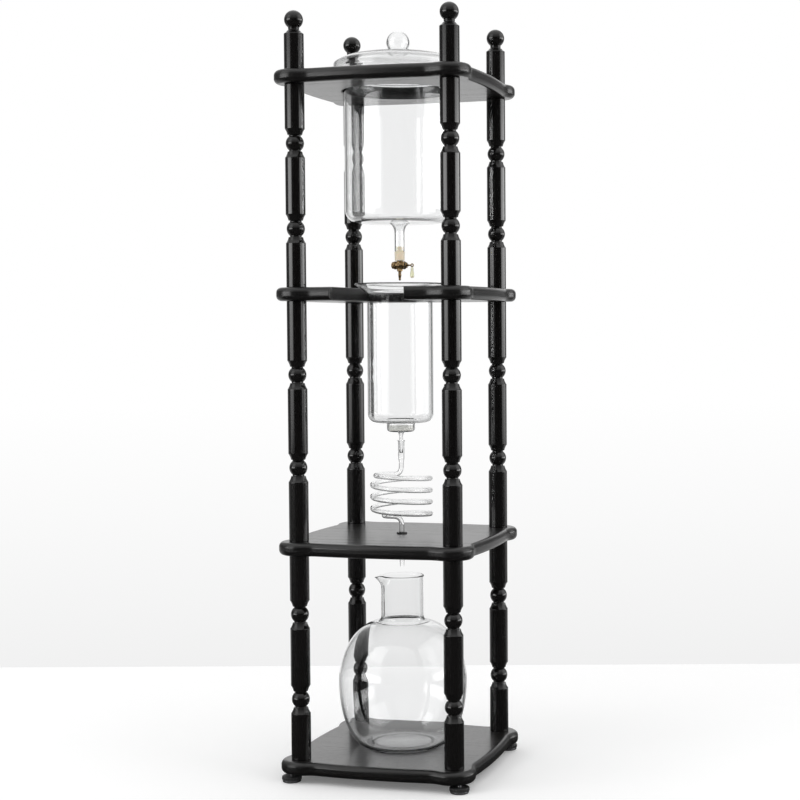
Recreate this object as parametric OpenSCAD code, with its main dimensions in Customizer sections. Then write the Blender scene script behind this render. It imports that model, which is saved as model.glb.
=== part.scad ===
// Cold drip coffee tower: four turned posts carry a base and three shelves. A lidded water
// vessel drips through a plug valve into a brew cylinder, on through a glass coil and into
// a carafe. Millimetres, +Z up, front towards -Y. The origin is on the floor, below the middle.

/* [Tower] */
// Distance between two neighbouring post axes
post_pitch = 250; // [242:1:280]
// Clear height between the base and the coil shelf
lower_bay = 320; // [310:1:360]
// Clear height between the coil shelf and the cylinder shelf
middle_bay = 372; // [372:1:420]
// Clear height between the cylinder shelf and the vessel shelf
upper_bay = 311; // [311:1:350]

/* [Boards] */
// Thickness of the base and of each shelf
board_t = 21; // [18:0.5:26]
// Radius of the round corner of a board, in plan
lobe_r = 35; // [30:0.5:40]
// How far a board's corner reaches beyond the post axis
overhang = 32; // [28:0.5:40]
// How far the middle of a side stays behind its corners
side_dip = 1; // [0:0.5:3]
// Radius of the long shallow curve of a side
side_r = 900; // [700:10:2000]
// Radius of the rounding along a board's edge
edge_r = 8; // [4:0.5:8.5]

/* [Posts] */
// Diameter of a post
post_d = 30.5; // [26:0.5:34]
// Diameter of the turned bead
bead_d = 28; // [24:0.5:29]
// Diameter of the neck at each side of a bead
neck_d = 18; // [16:0.5:20]
// Half the distance between the two necks of a bead
bead_half = 12; // [11:0.5:14]
// Length of the taper from the post down to the neck
taper_len = 10.5; // [8:0.5:14]
// Distance from a board to the bead in the lower bay
lower_bead = 93.5; // [60:0.5:120]
// Distance from a board to the bead in the middle bay
middle_bead = 114; // [60:0.5:140]
// Distance from a board to the bead in the upper bay
upper_bead = 90; // [60:0.5:120]
// Length of the straight part of a finial
finial_body = 56; // [40:0.5:70]
// Diameter of the ball on a finial
finial_ball = 29; // [24:0.5:30]
// Height of the finial's neck between its body and its ball
finial_neck = 7; // [5:0.5:10]

/* [Joinery] */
// Diameter of the studs and screws that pull the tower together
stud_d = 8; // [6:0.5:10]
// Wall of the threaded insert in each post end
insert_wall = 2; // [1.5:0.1:3]
// Length of an insert
insert_len = 22; // [18:0.5:26]
// How deep a stud or screw reaches into an insert
stud_reach = 18; // [14:0.5:18]
// Diameter of a base screw's countersunk head
screw_head_d = 15; // [14:0.5:16]

/* [Feet] */
// Height of the base's underside above the floor
foot_h = 13; // [12:0.5:18]
// How far a foot stands outside its post axis, along each side
foot_out = 11.5; // [11:0.5:15]
// Diameter of a foot's black grip ring
foot_d = 31; // [26:0.5:34]
// Height of a foot's bright glide
glide_h = 4; // [3:0.5:5]
// Height of a foot's grip ring
grip_h = 5.5; // [4:0.5:6]
// Diameter of a foot's threaded stud
foot_stud_d = 6; // [5:0.5:7]
// Length of the foot's stud inside the base
foot_stud_in = 15; // [12:0.5:15]
// How far a foot can be screwed in from its place
foot_in = 3; // [1:0.5:3]

/* [Water vessel] */
// Outer diameter of the vessel
vessel_d = 172; // [150:1:180]
// Wall of the vessel
vessel_wall = 3; // [2.5:0.1:4]
// Radial gap between the vessel and the hole in its shelf
vessel_gap = 3; // [2:0.5:5]
// Outer diameter of the vessel's flared rim
vessel_rim_d = 200; // [196:1:210]
// Height of the vessel's bottom above the cylinder shelf
vessel_floor = 104; // [100:0.5:130]
// Outer diameter of the outlet tube
outlet_d = 16; // [14:0.5:20]
// Length of the outlet tube below the vessel's bottom
outlet_len = 45.5; // [40:0.5:52]
// Outer diameter of the lid
lid_d = 205; // [202:1:214]
// Height of the lid's upright side
lid_side = 15.5; // [12:0.5:20]
// Height of the lid's dome above its side
dome_h = 21.5; // [16:0.5:28]
// Diameter of the lid's ball knob
knob_d = 37; // [30:0.5:42]

/* [Drip valve] */
// Diameter of the valve's barrel
barrel_d = 13; // [12:0.5:15]
// Half the length of the barrel
barrel_half = 9; // [8:0.5:10]
// Diameter of the plug that turns in the barrel
plug_d = 7; // [6:0.1:8]
// Diameter of the drip nozzle
nozzle_d = 5.5; // [4.5:0.1:6]
// Length of the nozzle below the barrel's axis
nozzle_len = 24; // [20:0.5:26]
// Distance of the drop handle from the valve's middle
handle_x = 20.8; // [19:0.1:24]
// Diameter of the drop handle
handle_d = 6.6; // [6:0.1:8]
// Length of the drop handle
handle_len = 17; // [14:0.5:20]

/* [Brew cylinder] */
// Outer diameter of the brew cylinder
cyl_d = 105; // [95:1:110]
// Wall of the brew cylinder
cyl_wall = 3; // [2.5:0.1:4]
// Outer diameter of its flared mouth
flare_d = 144; // [136:1:150]
// Height of the flare
flare_h = 17; // [15:0.5:20]
// How far the mouth stands above its shelf
mouth_up = 8; // [7:0.5:10]
// Length of the cylinder below the flare
cyl_len = 205; // [190:1:215]
// Outer diameter of the filter cup below the cylinder
cup_d = 45; // [40:0.5:50]
// Depth of the filter cup
cup_h = 15; // [13:0.5:18]
// Thickness of the filter disc
filter_t = 8; // [6:0.5:9]
// Outer diameter of the outlet stem
stem_d = 6.4; // [6:0.1:7]
// Width of the slot in the cylinder shelf
slot_w = 115; // [112:1:122]

/* [Coil] */
// Outer diameter of the coil
coil_d = 101; // [90:1:108]
// Outer diameter of the coil's glass tube
tube_d = 8; // [7:0.1:8.5]
// Wall of the coil's glass tube
tube_wall = 1.2; // [1:0.1:1.5]
// Number of turns
coil_turns = 4; // [3:1:5]
// Rise of one turn
coil_pitch = 17; // [14:0.5:18]
// Height of the lowest turn above the coil shelf
coil_low = 27; // [24:0.5:32]
// Outer diameter of the socket that takes the cylinder's stem
socket_d = 10.4; // [10:0.1:12]
// Length of the socket
socket_len = 26; // [22:0.5:30]
// How far the coil's tip reaches below its shelf
tip_len = 32; // [24:0.5:36]

/* [Carafe] */
// Largest outer diameter of the carafe
carafe_d = 205; // [190:1:208]
// Height of the carafe's widest place above the base
carafe_belly = 104; // [96:1:110]
// Height of the carafe
carafe_h = 274; // [266:1:276]
// Outer diameter of the carafe's neck
carafe_neck_d = 68; // [60:0.5:76]
// Wall of the carafe
carafe_wall = 3; // [2.5:0.1:4]
// Radius of the carafe's flat bottom
carafe_flat_r = 58; // [50:0.5:66]
// How far the pouring lip stands out from the neck
lip_out = 13; // [10:0.5:16]

/* [Clearances] */
// Radial gap of a screwed or pressed joint
fit_gap = 0.05; // [0.02:0.01:0.1]
// Gap between glass and what carries it
seat_gap = 0.3; // [0.2:0.05:0.5]
// Radial gap of the stem in the coil's socket
stem_gap = 0.6; // [0.4:0.05:0.8]

/* [Hidden] */
$fn = 96;
eps = 0.01;

half = post_pitch / 2;
corner = half + overhang;
base_z = foot_h;
base_top = base_z + board_t;
coil_shelf_z = base_top + lower_bay;
coil_shelf_top = coil_shelf_z + board_t;
cyl_shelf_z = coil_shelf_top + middle_bay;
cyl_shelf_top = cyl_shelf_z + board_t;
vessel_shelf_z = cyl_shelf_top + upper_bay;
vessel_shelf_top = vessel_shelf_z + board_t;

insert_d = stud_d + 2 * insert_wall;
hole_d = stud_d + 2 * fit_gap;

sink_r = screw_head_d / 2 + seat_gap + fit_gap;

foot_at = half + foot_out;
foot_nut_d = foot_stud_d + 4;
foot_nut_flange_d = foot_nut_d + 3;
foot_nut_flange_t = 1.5;
foot_nut_len = foot_stud_in + 1;
grip_round = 3.5;
glide_round = 2;

vessel_r = vessel_d / 2;
vessel_bottom = cyl_shelf_top + vessel_floor;
vessel_corner = 20;
rim_t = 4;
rim_z = vessel_shelf_top + seat_gap;
lid_z = rim_z + rim_t + seat_gap;
lid_t = 3;
lid_skirt = 4;
skirt_gap = 1.5;
knob_sink = 3;
outlet_r = outlet_d / 2;
outlet_wall = 1.8;
outlet_cone_h = 16;
outlet_flare = 12;
outlet_z = vessel_bottom - outlet_len;
valve_drop = 22;
valve_z = outlet_z - valve_drop;
stopper_foot = 0.8;
stopper_z = valve_z + barrel_d / 2 + stopper_foot;
stopper_h = outlet_z - seat_gap - stopper_z;
stopper_in = 8;
stopper_ease = 0.3;
spigot_d = 8;
cap_len = 4;
port_d = 3;
eye_r = 3;
handle_drop = 0.3;
handle_pin_r = 0.9;
handle_pin_in = 6;

cyl_r = cyl_d / 2;
mouth_z = cyl_shelf_top + mouth_up;
flare_z = mouth_z - flare_h;
cyl_bottom = flare_z - cyl_len;
cyl_corner = 14;
flare_lip = cyl_wall / 2;
flare_slope = (flare_d / 2 - flare_lip * (1 - cos(45)) - cyl_r) / (flare_h - flare_lip * (1 + sin(45)));
cup_z = cyl_bottom - cup_h;
cup_wall = 2.5;
stem_r = stem_d / 2;

tube_r = tube_d / 2;
coil_r = (coil_d - tube_d) / 2;
coil_z0 = coil_shelf_top + coil_low;
coil_z1 = coil_z0 + coil_turns * coil_pitch;
arm_bend = 10;
socket_r = socket_d / 2;
stem_free = 14;
stem_rest = 6;
socket_z1 = cup_z - stem_free;
socket_z0 = socket_z1 - socket_len;
stem_z = socket_z0 + stem_rest;
grommet_r = 6.5;
grommet_flange_r = 8.5;
grommet_flange_t = 2;

lip_h = 18;
lip_foot_r = 2;
lip_wall = 3.5;

// Names of the four corners, in the order in which they go round, and their signs in X and Y
CORNERS = [["fl", -1, -1], ["fr", 1, -1], ["br", 1, 1], ["bl", -1, 1]];

WOOD = [0.11, 0.10, 0.10];
GLASS = [0.80, 0.90, 0.95, 0.45];
STEEL = [0.75, 0.76, 0.78];
BRASS = [0.55, 0.42, 0.20];
RUBBER = [0.08, 0.08, 0.08];
STOPPER = [0.80, 0.70, 0.55];
CREAM = [0.82, 0.80, 0.62];
CERAMIC = [0.93, 0.92, 0.88];

// ---- Functions ----

// Points of an arc of an ellipse, from angle a0 to a1
function arc(c, rx, ry, a0, a1, n) =
    [for (i = [0:n]) let (a = a0 + (a1 - a0) * i / n) [c[0] + rx * cos(a), c[1] + ry * sin(a)]];

function reversed(list) = [for (i = [len(list) - 1:-1:0]) list[i]];

function unit(v) = v / norm(v);

// ---- Boards ----

// Profile of a round board: a rectangle from the axis out to r, with both outer corners rounded
module bullnose_profile(r) {
    square([r - edge_r, board_t]);
    translate([0, edge_r]) square([r, board_t - 2 * edge_r]);
    translate([r - edge_r, edge_r]) circle(edge_r);
    translate([r - edge_r, board_t - edge_r]) circle(edge_r);
}

module round_board(r) {
    rotate_extrude() intersection() {
        bullnose_profile(r);
        square([r + 1, board_t]);
    }
}

// One long shallow side, towards +X
module board_side() {
    valley = corner - lobe_r + edge_r;
    intersection() {
        translate([corner - side_dip - side_r, 0, 0]) round_board(side_r);
        translate([half - 30, -valley, -1]) cube([overhang + 31, 2 * valley, board_t + 2]);
    }
}

// A whole board with its wavy outline, standing on z = 0
module board() {
    lobe_at = corner - lobe_r;
    core = half - 10;
    for (c = CORNERS) translate([c[1] * lobe_at, c[2] * lobe_at, 0]) round_board(lobe_r);
    for (a = [0:90:270]) rotate([0, 0, a]) board_side();
    translate([-core, -lobe_at, 0]) cube([2 * core, 2 * lobe_at, board_t]);
    translate([-lobe_at, -core, 0]) cube([2 * lobe_at, 2 * core, board_t]);
}

// Holes for the studs, one on each post axis
module stud_holes() {
    for (c = CORNERS) translate([c[1] * half, c[2] * half, -1]) cylinder(d = hole_d, h = board_t + 2);
}

module base_board() {
    color(WOOD) translate([0, 0, base_z]) difference() {
        board();
        stud_holes();
        for (c = CORNERS) {
            translate([c[1] * half, c[2] * half, 0])
                cylinder(r1 = sink_r, r2 = hole_d / 2, h = sink_r - hole_d / 2);
            translate([c[1] * half, c[2] * half, -1]) cylinder(r = sink_r, h = 1 + eps);
            translate([c[1] * foot_at, c[2] * foot_at, -1])
                cylinder(d = foot_nut_d + 2 * fit_gap, h = foot_nut_len + 2);
            translate([c[1] * foot_at, c[2] * foot_at, -1])
                cylinder(d = foot_nut_flange_d + 2 * fit_gap, h = foot_nut_flange_t + 1);
        }
    }
}

module coil_shelf() {
    color(WOOD) translate([0, 0, coil_shelf_z]) difference() {
        board();
        stud_holes();
        translate([0, 0, -1]) cylinder(r = grommet_r + fit_gap, h = board_t + 2);
    }
}

module cylinder_shelf() {
    slot_r = slot_w / 2;
    seat = cyl_r + flare_slope * (flare_h - mouth_up) + seat_gap * sqrt(1 + flare_slope * flare_slope);
    seat_h = (seat - slot_r) / flare_slope;
    color(WOOD) translate([0, 0, cyl_shelf_z]) difference() {
        board();
        stud_holes();
        translate([0, 0, -1]) cylinder(r = slot_r, h = board_t + 2);
        translate([-slot_r, -corner - 1, -1]) cube([slot_w, corner + 1, board_t + 2]);
        translate([0, 0, board_t - seat_h]) cylinder(r1 = slot_r, r2 = seat, h = seat_h);
        translate([0, 0, board_t]) cylinder(r = seat, h = 1);
    }
}

module vessel_shelf() {
    color(WOOD) translate([0, 0, vessel_shelf_z]) difference() {
        board();
        stud_holes();
        translate([0, 0, -1]) cylinder(r = vessel_r + vessel_gap, h = board_t + 2);
    }
}

// ---- Posts ----

// Half of a turned bead with its neck and taper, in section, with the bead's middle at y = 0
module bead_profile() {
    overlap = 1;
    translate([0, -bead_half]) square([neck_d / 2, 2 * bead_half]);
    intersection() {
        circle(d = bead_d);
        translate([0, -bead_d]) square([bead_d, 2 * bead_d]);
    }
    for (s = [-1, 1]) scale([1, s]) polygon([
        [0, bead_half], [neck_d / 2 + 1.2, bead_half], [neck_d / 2 + 2.2, bead_half + 1.2],
        [post_d / 2 - 0.8, bead_half + taper_len - 1], [post_d / 2, bead_half + taper_len],
        [post_d / 2, bead_half + taper_len + overlap], [0, bead_half + taper_len + overlap]
    ]);
}

// A spindle of a given length with a bead at the same distance from each end, on z = 0
module spindle(length, bead_at) {
    gap = bead_half + taper_len;
    bore = insert_d / 2 + fit_gap;
    rotate_extrude() difference() {
        union() {
            square([post_d / 2, bead_at - gap]);
            translate([0, bead_at]) bead_profile();
            translate([0, bead_at + gap]) square([post_d / 2, length - 2 * (bead_at + gap)]);
            translate([0, length - bead_at]) bead_profile();
            translate([0, length - bead_at + gap]) square([post_d / 2, bead_at - gap]);
        }
        translate([-1, -1]) square([bore + 1, insert_len + 1]);
        translate([-1, length - insert_len]) square([bore + 1, insert_len + 1]);
    }
}

module at_corner(i, z) {
    translate([CORNERS[i][1] * half, CORNERS[i][2] * half, z]) children();
}

module spindle_lower(i) {
    color(WOOD) at_corner(i, base_top) spindle(lower_bay, lower_bead);
}

module spindle_middle(i) {
    color(WOOD) at_corner(i, coil_shelf_top) spindle(middle_bay, middle_bead);
}

module spindle_upper(i) {
    color(WOOD) at_corner(i, cyl_shelf_top) spindle(upper_bay, upper_bead);
}

module finial(i) {
    ball_z = finial_body + finial_neck + finial_ball / 2;
    color(WOOD) at_corner(i, vessel_shelf_top) rotate_extrude() difference() {
        union() {
            square([post_d / 2, finial_body]);
            polygon([
                [0, finial_body], [post_d / 2, finial_body], [post_d / 2 - 1, finial_body + 1.5],
                [neck_d / 2 + 1, finial_body + finial_neck - 1],
                [neck_d / 2 - 0.5, finial_body + finial_neck], [neck_d / 2 - 0.5, ball_z], [0, ball_z]
            ]);
            intersection() {
                translate([0, ball_z]) circle(d = finial_ball);
                translate([0, ball_z - finial_ball]) square([finial_ball, 2 * finial_ball]);
            }
        }
        translate([-1, -1]) square([insert_d / 2 + fit_gap + 1, insert_len + 1]);
    }
}

// ---- Joinery ----

module insert_tube() {
    difference() {
        cylinder(d = insert_d, h = insert_len);
        translate([0, 0, -1]) cylinder(d = hole_d, h = insert_len + 2);
    }
}

module inserts(z) {
    for (i = [0:3]) at_corner(i, z) insert_tube();
}

module lower_inserts() {
    color(BRASS) {
        inserts(base_top);
        inserts(coil_shelf_z - insert_len);
    }
}

module middle_inserts() {
    color(BRASS) {
        inserts(coil_shelf_top);
        inserts(cyl_shelf_z - insert_len);
    }
}

module upper_inserts() {
    color(BRASS) {
        inserts(cyl_shelf_top);
        inserts(vessel_shelf_z - insert_len);
    }
}

module finial_inserts() {
    color(BRASS) inserts(vessel_shelf_top);
}

// A stud on each post axis, through the board that stands on z
module shelf_studs(z) {
    color(STEEL) for (i = [0:3]) at_corner(i, z - stud_reach) cylinder(d = stud_d, h = board_t + 2 * stud_reach);
}

module coil_shelf_studs() {
    shelf_studs(coil_shelf_z);
}

module cylinder_shelf_studs() {
    shelf_studs(cyl_shelf_z);
}

module vessel_shelf_studs() {
    shelf_studs(vessel_shelf_z);
}

// Countersunk screws, up through the base into the lower inserts
module base_screws() {
    head_h = (screw_head_d - stud_d) / 2;
    socket_af = 5;
    color(STEEL) for (i = [0:3]) at_corner(i, base_z + seat_gap) difference() {
        union() {
            cylinder(d1 = screw_head_d, d2 = stud_d, h = head_h);
            cylinder(d = stud_d, h = board_t + stud_reach);
        }
        translate([0, 0, -1]) cylinder(d = socket_af / cos(30), h = 4, $fn = 6);
    }
}

// ---- Feet ----

// Flanged nuts, let into the base from below
module foot_nuts() {
    color(STEEL) for (c = CORNERS) translate([c[1] * foot_at, c[2] * foot_at, base_z]) difference() {
        union() {
            cylinder(d = foot_nut_d, h = foot_nut_len);
            cylinder(d = foot_nut_flange_d, h = foot_nut_flange_t);
        }
        translate([0, 0, -1]) cylinder(d = foot_stud_d + 2 * fit_gap, h = foot_nut_len + 2);
    }
}

// Black grip ring, turned by hand to level the tower
module foot_grip(i) {
    c = CORNERS[i];
    top_r = foot_d / 2 - grip_round;
    color(RUBBER) translate([c[1] * foot_at, c[2] * foot_at, glide_h]) rotate_extrude() difference() {
        union() {
            square([top_r, grip_h]);
            square([foot_d / 2, grip_h - grip_round]);
            translate([top_r, grip_h - grip_round]) circle(r = grip_round);
        }
        translate([-1, -10]) square([foot_d, 10]);
        translate([-1, -1]) square([foot_stud_d / 2 + fit_gap + 1, grip_h + 2]);
        translate([-foot_d, -10]) square([foot_d, 30]);
    }
}

// Bright glide with the threaded stud that stands on it
module foot_glide(i) {
    c = CORNERS[i];
    r = foot_d / 2 - 1;
    color(STEEL) translate([c[1] * foot_at, c[2] * foot_at, 0]) rotate_extrude() union() {
        square([r - glide_round, glide_h]);
        translate([0, glide_round]) square([r, glide_h - glide_round]);
        intersection() {
            translate([r - glide_round, glide_round]) circle(r = glide_round);
            square([r, glide_h]);
        }
        square([foot_stud_d / 2, base_z + foot_stud_in - foot_in]);
    }
}

// ---- Water vessel ----

module water_vessel() {
    r = vessel_r;
    w = vessel_wall;
    cone_r = outlet_r + outlet_flare;
    rim_r = vessel_rim_d / 2;
    bend = rim_t;
    outer = concat(
        [[outlet_r, outlet_z], [outlet_r, vessel_bottom - outlet_cone_h]],
        arc([cone_r, vessel_bottom - outlet_cone_h], outlet_flare, outlet_cone_h, 180, 90, 10),
        arc([r - vessel_corner, vessel_bottom + vessel_corner], vessel_corner, vessel_corner, -90, 0, 14),
        arc([r + bend, rim_z - bend], bend, bend, 180, 90, 8),
        arc([rim_r - rim_t / 2, rim_z + rim_t / 2], rim_t / 2, rim_t / 2, -90, 90, 8)
    );
    inner = concat(
        [[outlet_r - outlet_wall, outlet_z], [outlet_r - outlet_wall, vessel_bottom - outlet_cone_h + 2]],
        arc([cone_r, vessel_bottom - outlet_cone_h + 2], cone_r - outlet_r + outlet_wall, outlet_cone_h, 180, 90, 10),
        arc([r - vessel_corner, vessel_bottom + w + vessel_corner - w], vessel_corner - w, vessel_corner - w,
            -90, 0, 14),
        arc([r - w + bend + 2, rim_z + rim_t - bend - 2], bend + 2, bend + 2, 180, 90, 8)
    );
    color(GLASS) rotate_extrude() polygon(concat(outer, reversed(inner)));
}

module lid() {
    r = lid_d / 2;
    round_r = lid_t / 2;
    shoulder = lid_z + lid_side;
    top = shoulder + dome_h;
    skirt_r = vessel_r - vessel_wall - skirt_gap;
    knob_z = top + knob_d / 2 - knob_sink;
    outer = concat(
        [[skirt_r, lid_z]],
        arc([r - round_r, lid_z + round_r], round_r, round_r, -90, 0, 4),
        arc([0, shoulder], r, dome_h, 0, 90, 28)
    );
    inner = concat(
        [[skirt_r, lid_z - lid_skirt], [skirt_r - lid_t, lid_z - lid_skirt]],
        [[skirt_r - lid_t, lid_z + lid_t], [r - lid_t, lid_z + lid_t]],
        arc([0, shoulder], r - lid_t, dome_h - lid_t, 0, 90, 28)
    );
    color(GLASS) {
        rotate_extrude() union() {
            polygon(concat(outer, reversed(inner)));
            difference() {
                translate([0, knob_z]) circle(d = knob_d);
                translate([-knob_d, knob_z - knob_d]) square([knob_d, 2 * knob_d]);
            }
        }
    }
}

// ---- Drip valve ----

// Stopper: its upper part plugs the outlet tube, and the valve's spigot runs up through it
module valve_stopper() {
    color(STOPPER) translate([0, 0, stopper_z]) difference() {
        union() {
            cylinder(r1 = outlet_r - stopper_ease, r2 = outlet_r + stopper_ease, h = stopper_h);
            cylinder(r = outlet_r - outlet_wall - fit_gap, h = stopper_h + stopper_in);
        }
        translate([0, 0, -1]) cylinder(d = spigot_d + 2 * fit_gap, h = stopper_h + stopper_in + 2);
    }
}

module valve_body() {
    spigot_top = stopper_z + stopper_h + stopper_in - 1;
    color(BRASS) translate([0, 0, valve_z]) difference() {
        union() {
            translate([-barrel_half, 0, 0]) rotate([0, 90, 0]) cylinder(d = barrel_d, h = 2 * barrel_half);
            cylinder(d = spigot_d + 2.5, h = stopper_z - valve_z);
            cylinder(d = spigot_d, h = spigot_top - valve_z);
            translate([0, 0, -barrel_d / 2 - 3]) cylinder(d = nozzle_d + 4, h = barrel_d / 2);
        }
        translate([-barrel_half - 1, 0, 0]) rotate([0, 90, 0])
            cylinder(d = plug_d + 2 * fit_gap, h = 2 * barrel_half + 2);
        cylinder(d = port_d, h = 40);
        translate([0, 0, -barrel_d / 2 - 4]) cylinder(d = nozzle_d + 2 * fit_gap, h = 6);
        translate([0, 0, -barrel_d]) cylinder(d = port_d, h = barrel_d);
    }
}

module valve_nozzle() {
    top = -barrel_d / 2 + 2 - fit_gap;
    color(BRASS) translate([0, 0, valve_z]) rotate_extrude() polygon([
        [port_d / 2 - 0.5, -nozzle_len], [port_d / 2 + 0.2, -nozzle_len], [nozzle_d / 2, -nozzle_len + 7],
        [nozzle_d / 2, top], [port_d / 2 - 0.5, top]
    ]);
}

// Cap on the barrel's left end; it holds the plug
module valve_cap() {
    x = -barrel_half - seat_gap;
    color(BRASS) translate([x, 0, valve_z]) rotate([0, -90, 0]) union() {
        cylinder(d = barrel_d - 2, h = cap_len - 1);
        cylinder(d = barrel_d - 5, h = cap_len);
    }
}

// Sealing washer between the barrel's right end and the key's collar
module valve_washer() {
    color(RUBBER) translate([barrel_half + fit_gap, 0, valve_z]) rotate([0, 90, 0]) difference() {
        cylinder(d = barrel_d - 2.5, h = 1.2);
        translate([0, 0, -1]) cylinder(d = plug_d + 2 * fit_gap, h = 4);
    }
}

// Turning key: cross-drilled plug, collar, arm and eye, with the pin that holds the drop handle
module valve_key() {
    collar_x = barrel_half + fit_gap + 1.2 + seat_gap;
    plug_x = -barrel_half;
    color(BRASS) translate([0, 0, valve_z]) difference() {
        union() {
            translate([plug_x, 0, 0]) rotate([0, 90, 0]) cylinder(d = plug_d, h = collar_x - plug_x + 1);
            translate([collar_x, 0, 0]) rotate([0, 90, 0]) cylinder(d = barrel_d - 4, h = 2);
            translate([collar_x, 0, 0]) rotate([0, 90, 0]) cylinder(d = 3.6, h = handle_x - collar_x - 1.5);
            translate([handle_x, 0, 0]) rotate([90, 0, 0]) rotate_extrude() translate([eye_r - 1, 0]) circle(1);
            translate([handle_x, 0, -eye_r - handle_drop - handle_pin_in])
                cylinder(r = handle_pin_r, h = handle_drop + handle_pin_in + 0.5);
        }
        translate([0, 0, -barrel_d]) cylinder(d = port_d, h = 2 * barrel_d);
    }
}

// Turned drop handle
module valve_handle() {
    top = valve_z - eye_r - handle_drop;
    r = handle_d / 2;
    neck_r = r * 0.6;
    color(CREAM) translate([handle_x, 0, top - handle_len]) rotate_extrude() difference() {
        polygon(concat(
            arc([0, r], r, r, -90, 0, 10),
            arc([neck_r, r + 2], r - neck_r, handle_len - r - 4, 0, 90, 8),
            [[neck_r, handle_len], [0, handle_len]]
        ));
        translate([-1, handle_len - handle_pin_in - fit_gap]) square([handle_pin_r + fit_gap + 1, handle_len]);
    }
}

// ---- Brew cylinder ----

module brew_cylinder() {
    r = cyl_r;
    w = cyl_wall;
    cup_r = cup_d / 2;
    cone_h = 9;
    outer = concat(
        [[stem_r - 0.4, stem_z], [stem_r, stem_z + 8], [stem_r, cup_z - cone_h]],
        arc([stem_r + 4, cup_z - cone_h], 4, cone_h, 180, 90, 6),
        arc([cup_r - 5, cup_z + 5], 5, 5, -90, 0, 8),
        arc([cup_r + 2, cyl_bottom - 2], 2, 2, 180, 90, 4),
        arc([r - cyl_corner, cyl_bottom + cyl_corner], cyl_corner, cyl_corner, -90, 0, 12),
        [[r, flare_z]],
        arc([flare_d / 2 - flare_lip, mouth_z - flare_lip], flare_lip, flare_lip, -45, 135, 8)
    );
    inner = concat(
        [[stem_r - 1.3, stem_z], [stem_r - 1.3, cup_z + cup_wall], [cup_r - cup_wall, cup_z + cup_wall]],
        [[cup_r - cup_wall, cyl_bottom - 1]],
        arc([cup_r - cup_wall + w + 1, cyl_bottom - 1], w + 1, w + 1, 180, 90, 6),
        arc([r - cyl_corner, cyl_bottom + cyl_corner], cyl_corner - w, cyl_corner - w, -90, 0, 12),
        [[r - w, flare_z + w / 2]]
    );
    color(GLASS) rotate_extrude() polygon(concat(outer, reversed(inner)));
}

// Porous disc that lies in the cup, under the coffee grounds
module filter_disc() {
    color(CERAMIC) translate([0, 0, cup_z + cup_wall])
        cylinder(d = cup_d - 2 * cup_wall - 2 * seat_gap, h = filter_t);
}

// ---- Coil ----

// The tube's route, from the socket's mouth down to the tip: [point, outer radius, inner radius]
steps_turn = 24;
steps_arm = 10;
steps_bend = 6;
arm_sweep = 70;
tube_bore = tube_r - tube_wall;
stem_room = stem_r + stem_gap;

function polar(r, a, z) = [r * cos(a), r * sin(a), z];

// Route of an arm: down the axis, round a bend, and out to the coil's circle
function bend_route(z, up) = [for (i = [0:steps_bend]) let (a = 90 * i / steps_bend)
    polar(arm_bend * (1 - cos(a)), 180, z + up * arm_bend * (1 - sin(a)))];
function arm_route(z, turn) = [for (i = [1:steps_arm]) let (s = i / steps_arm)
    polar(arm_bend + (coil_r - arm_bend) * sin(90 * s), 180 + turn * arm_sweep * s * s, z)];
function helix_route() =
    let (n = coil_turns * steps_turn)
    [for (i = [1:n - 1]) polar(coil_r, 180 + arm_sweep + (360 * coil_turns - 2 * arm_sweep) * i / n,
        coil_z1 + (coil_z0 - coil_z1) * i / n)];

coil_core = concat(
    bend_route(coil_z1, 1),
    arm_route(coil_z1, 1),
    helix_route(),
    reversed(arm_route(coil_z0, -1)),
    reversed(bend_route(coil_z0, -1))
);
coil_route = concat(
    [[0, 0, socket_z1], [0, 0, socket_z1 - 2.5], [0, 0, socket_z0], [0, 0, coil_z1 + arm_bend + 4]],
    coil_core,
    [[0, 0, coil_z0 - arm_bend - 4], [0, 0, coil_shelf_z - tip_len]]
);
coil_rings = len(coil_route);
coil_outer = [for (i = [0:coil_rings - 1])
    i == 0 ? socket_r + 1.2 : i <= 2 ? socket_r : tube_r];
coil_inner = [for (i = [0:coil_rings - 1]) i <= 2 ? stem_room : tube_bore];

coil_tangent = [for (i = [0:coil_rings - 1])
    unit(coil_route[min(i + 1, coil_rings - 1)] - coil_route[max(i - 1, 0)])];

// Sideways directions that follow the route without twisting
coil_normal = [for (i = 0, n = [0, 1, 0]; i < coil_rings;
    i = i + 1, n = i < coil_rings ? unit(n - (n * coil_tangent[i]) * coil_tangent[i]) : n) n];

tube_sides = 8;
function ring(i, r) = [for (k = [0:tube_sides - 1]) let (a = 360 * k / tube_sides)
    coil_route[i] + r * cos(a) * coil_normal[i] + r * sin(a) * cross(coil_tangent[i], coil_normal[i])];

// Least gap between two turns, measured from tube wall to tube wall on the route's points
coil_gap = min([for (i = [0:coil_rings - 1]) for (j = [i + 12:1:coil_rings - 1])
    norm(coil_route[i] - coil_route[j])]) - tube_d;
echo(coil_gap = coil_gap);

module coil() {
    n = coil_rings;
    m = tube_sides;
    points = concat(
        [for (i = [0:n - 1]) for (p = ring(i, coil_outer[i])) p],
        [for (i = [0:n - 1]) for (p = ring(i, coil_inner[i])) p]
    );
    skin = [for (i = [0:n - 2]) for (k = [0:m - 1]) let (a = i * m + k, b = i * m + (k + 1) % m)
        each [[a, b, b + m], [a, b + m, a + m]]];
    bore = [for (f = skin) [f[2] + n * m, f[1] + n * m, f[0] + n * m]];
    ends = [for (k = [0:m - 1]) let (a = k, b = (k + 1) % m, c = (n - 1) * m + k, d = (n - 1) * m + (k + 1) % m)
        each [[b, a, a + n * m], [b, a + n * m, b + n * m], [c, d, d + n * m], [c, d + n * m, c + n * m]]];
    color(GLASS) polyhedron(points, concat(skin, bore, ends), convexity = 10);
}

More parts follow.
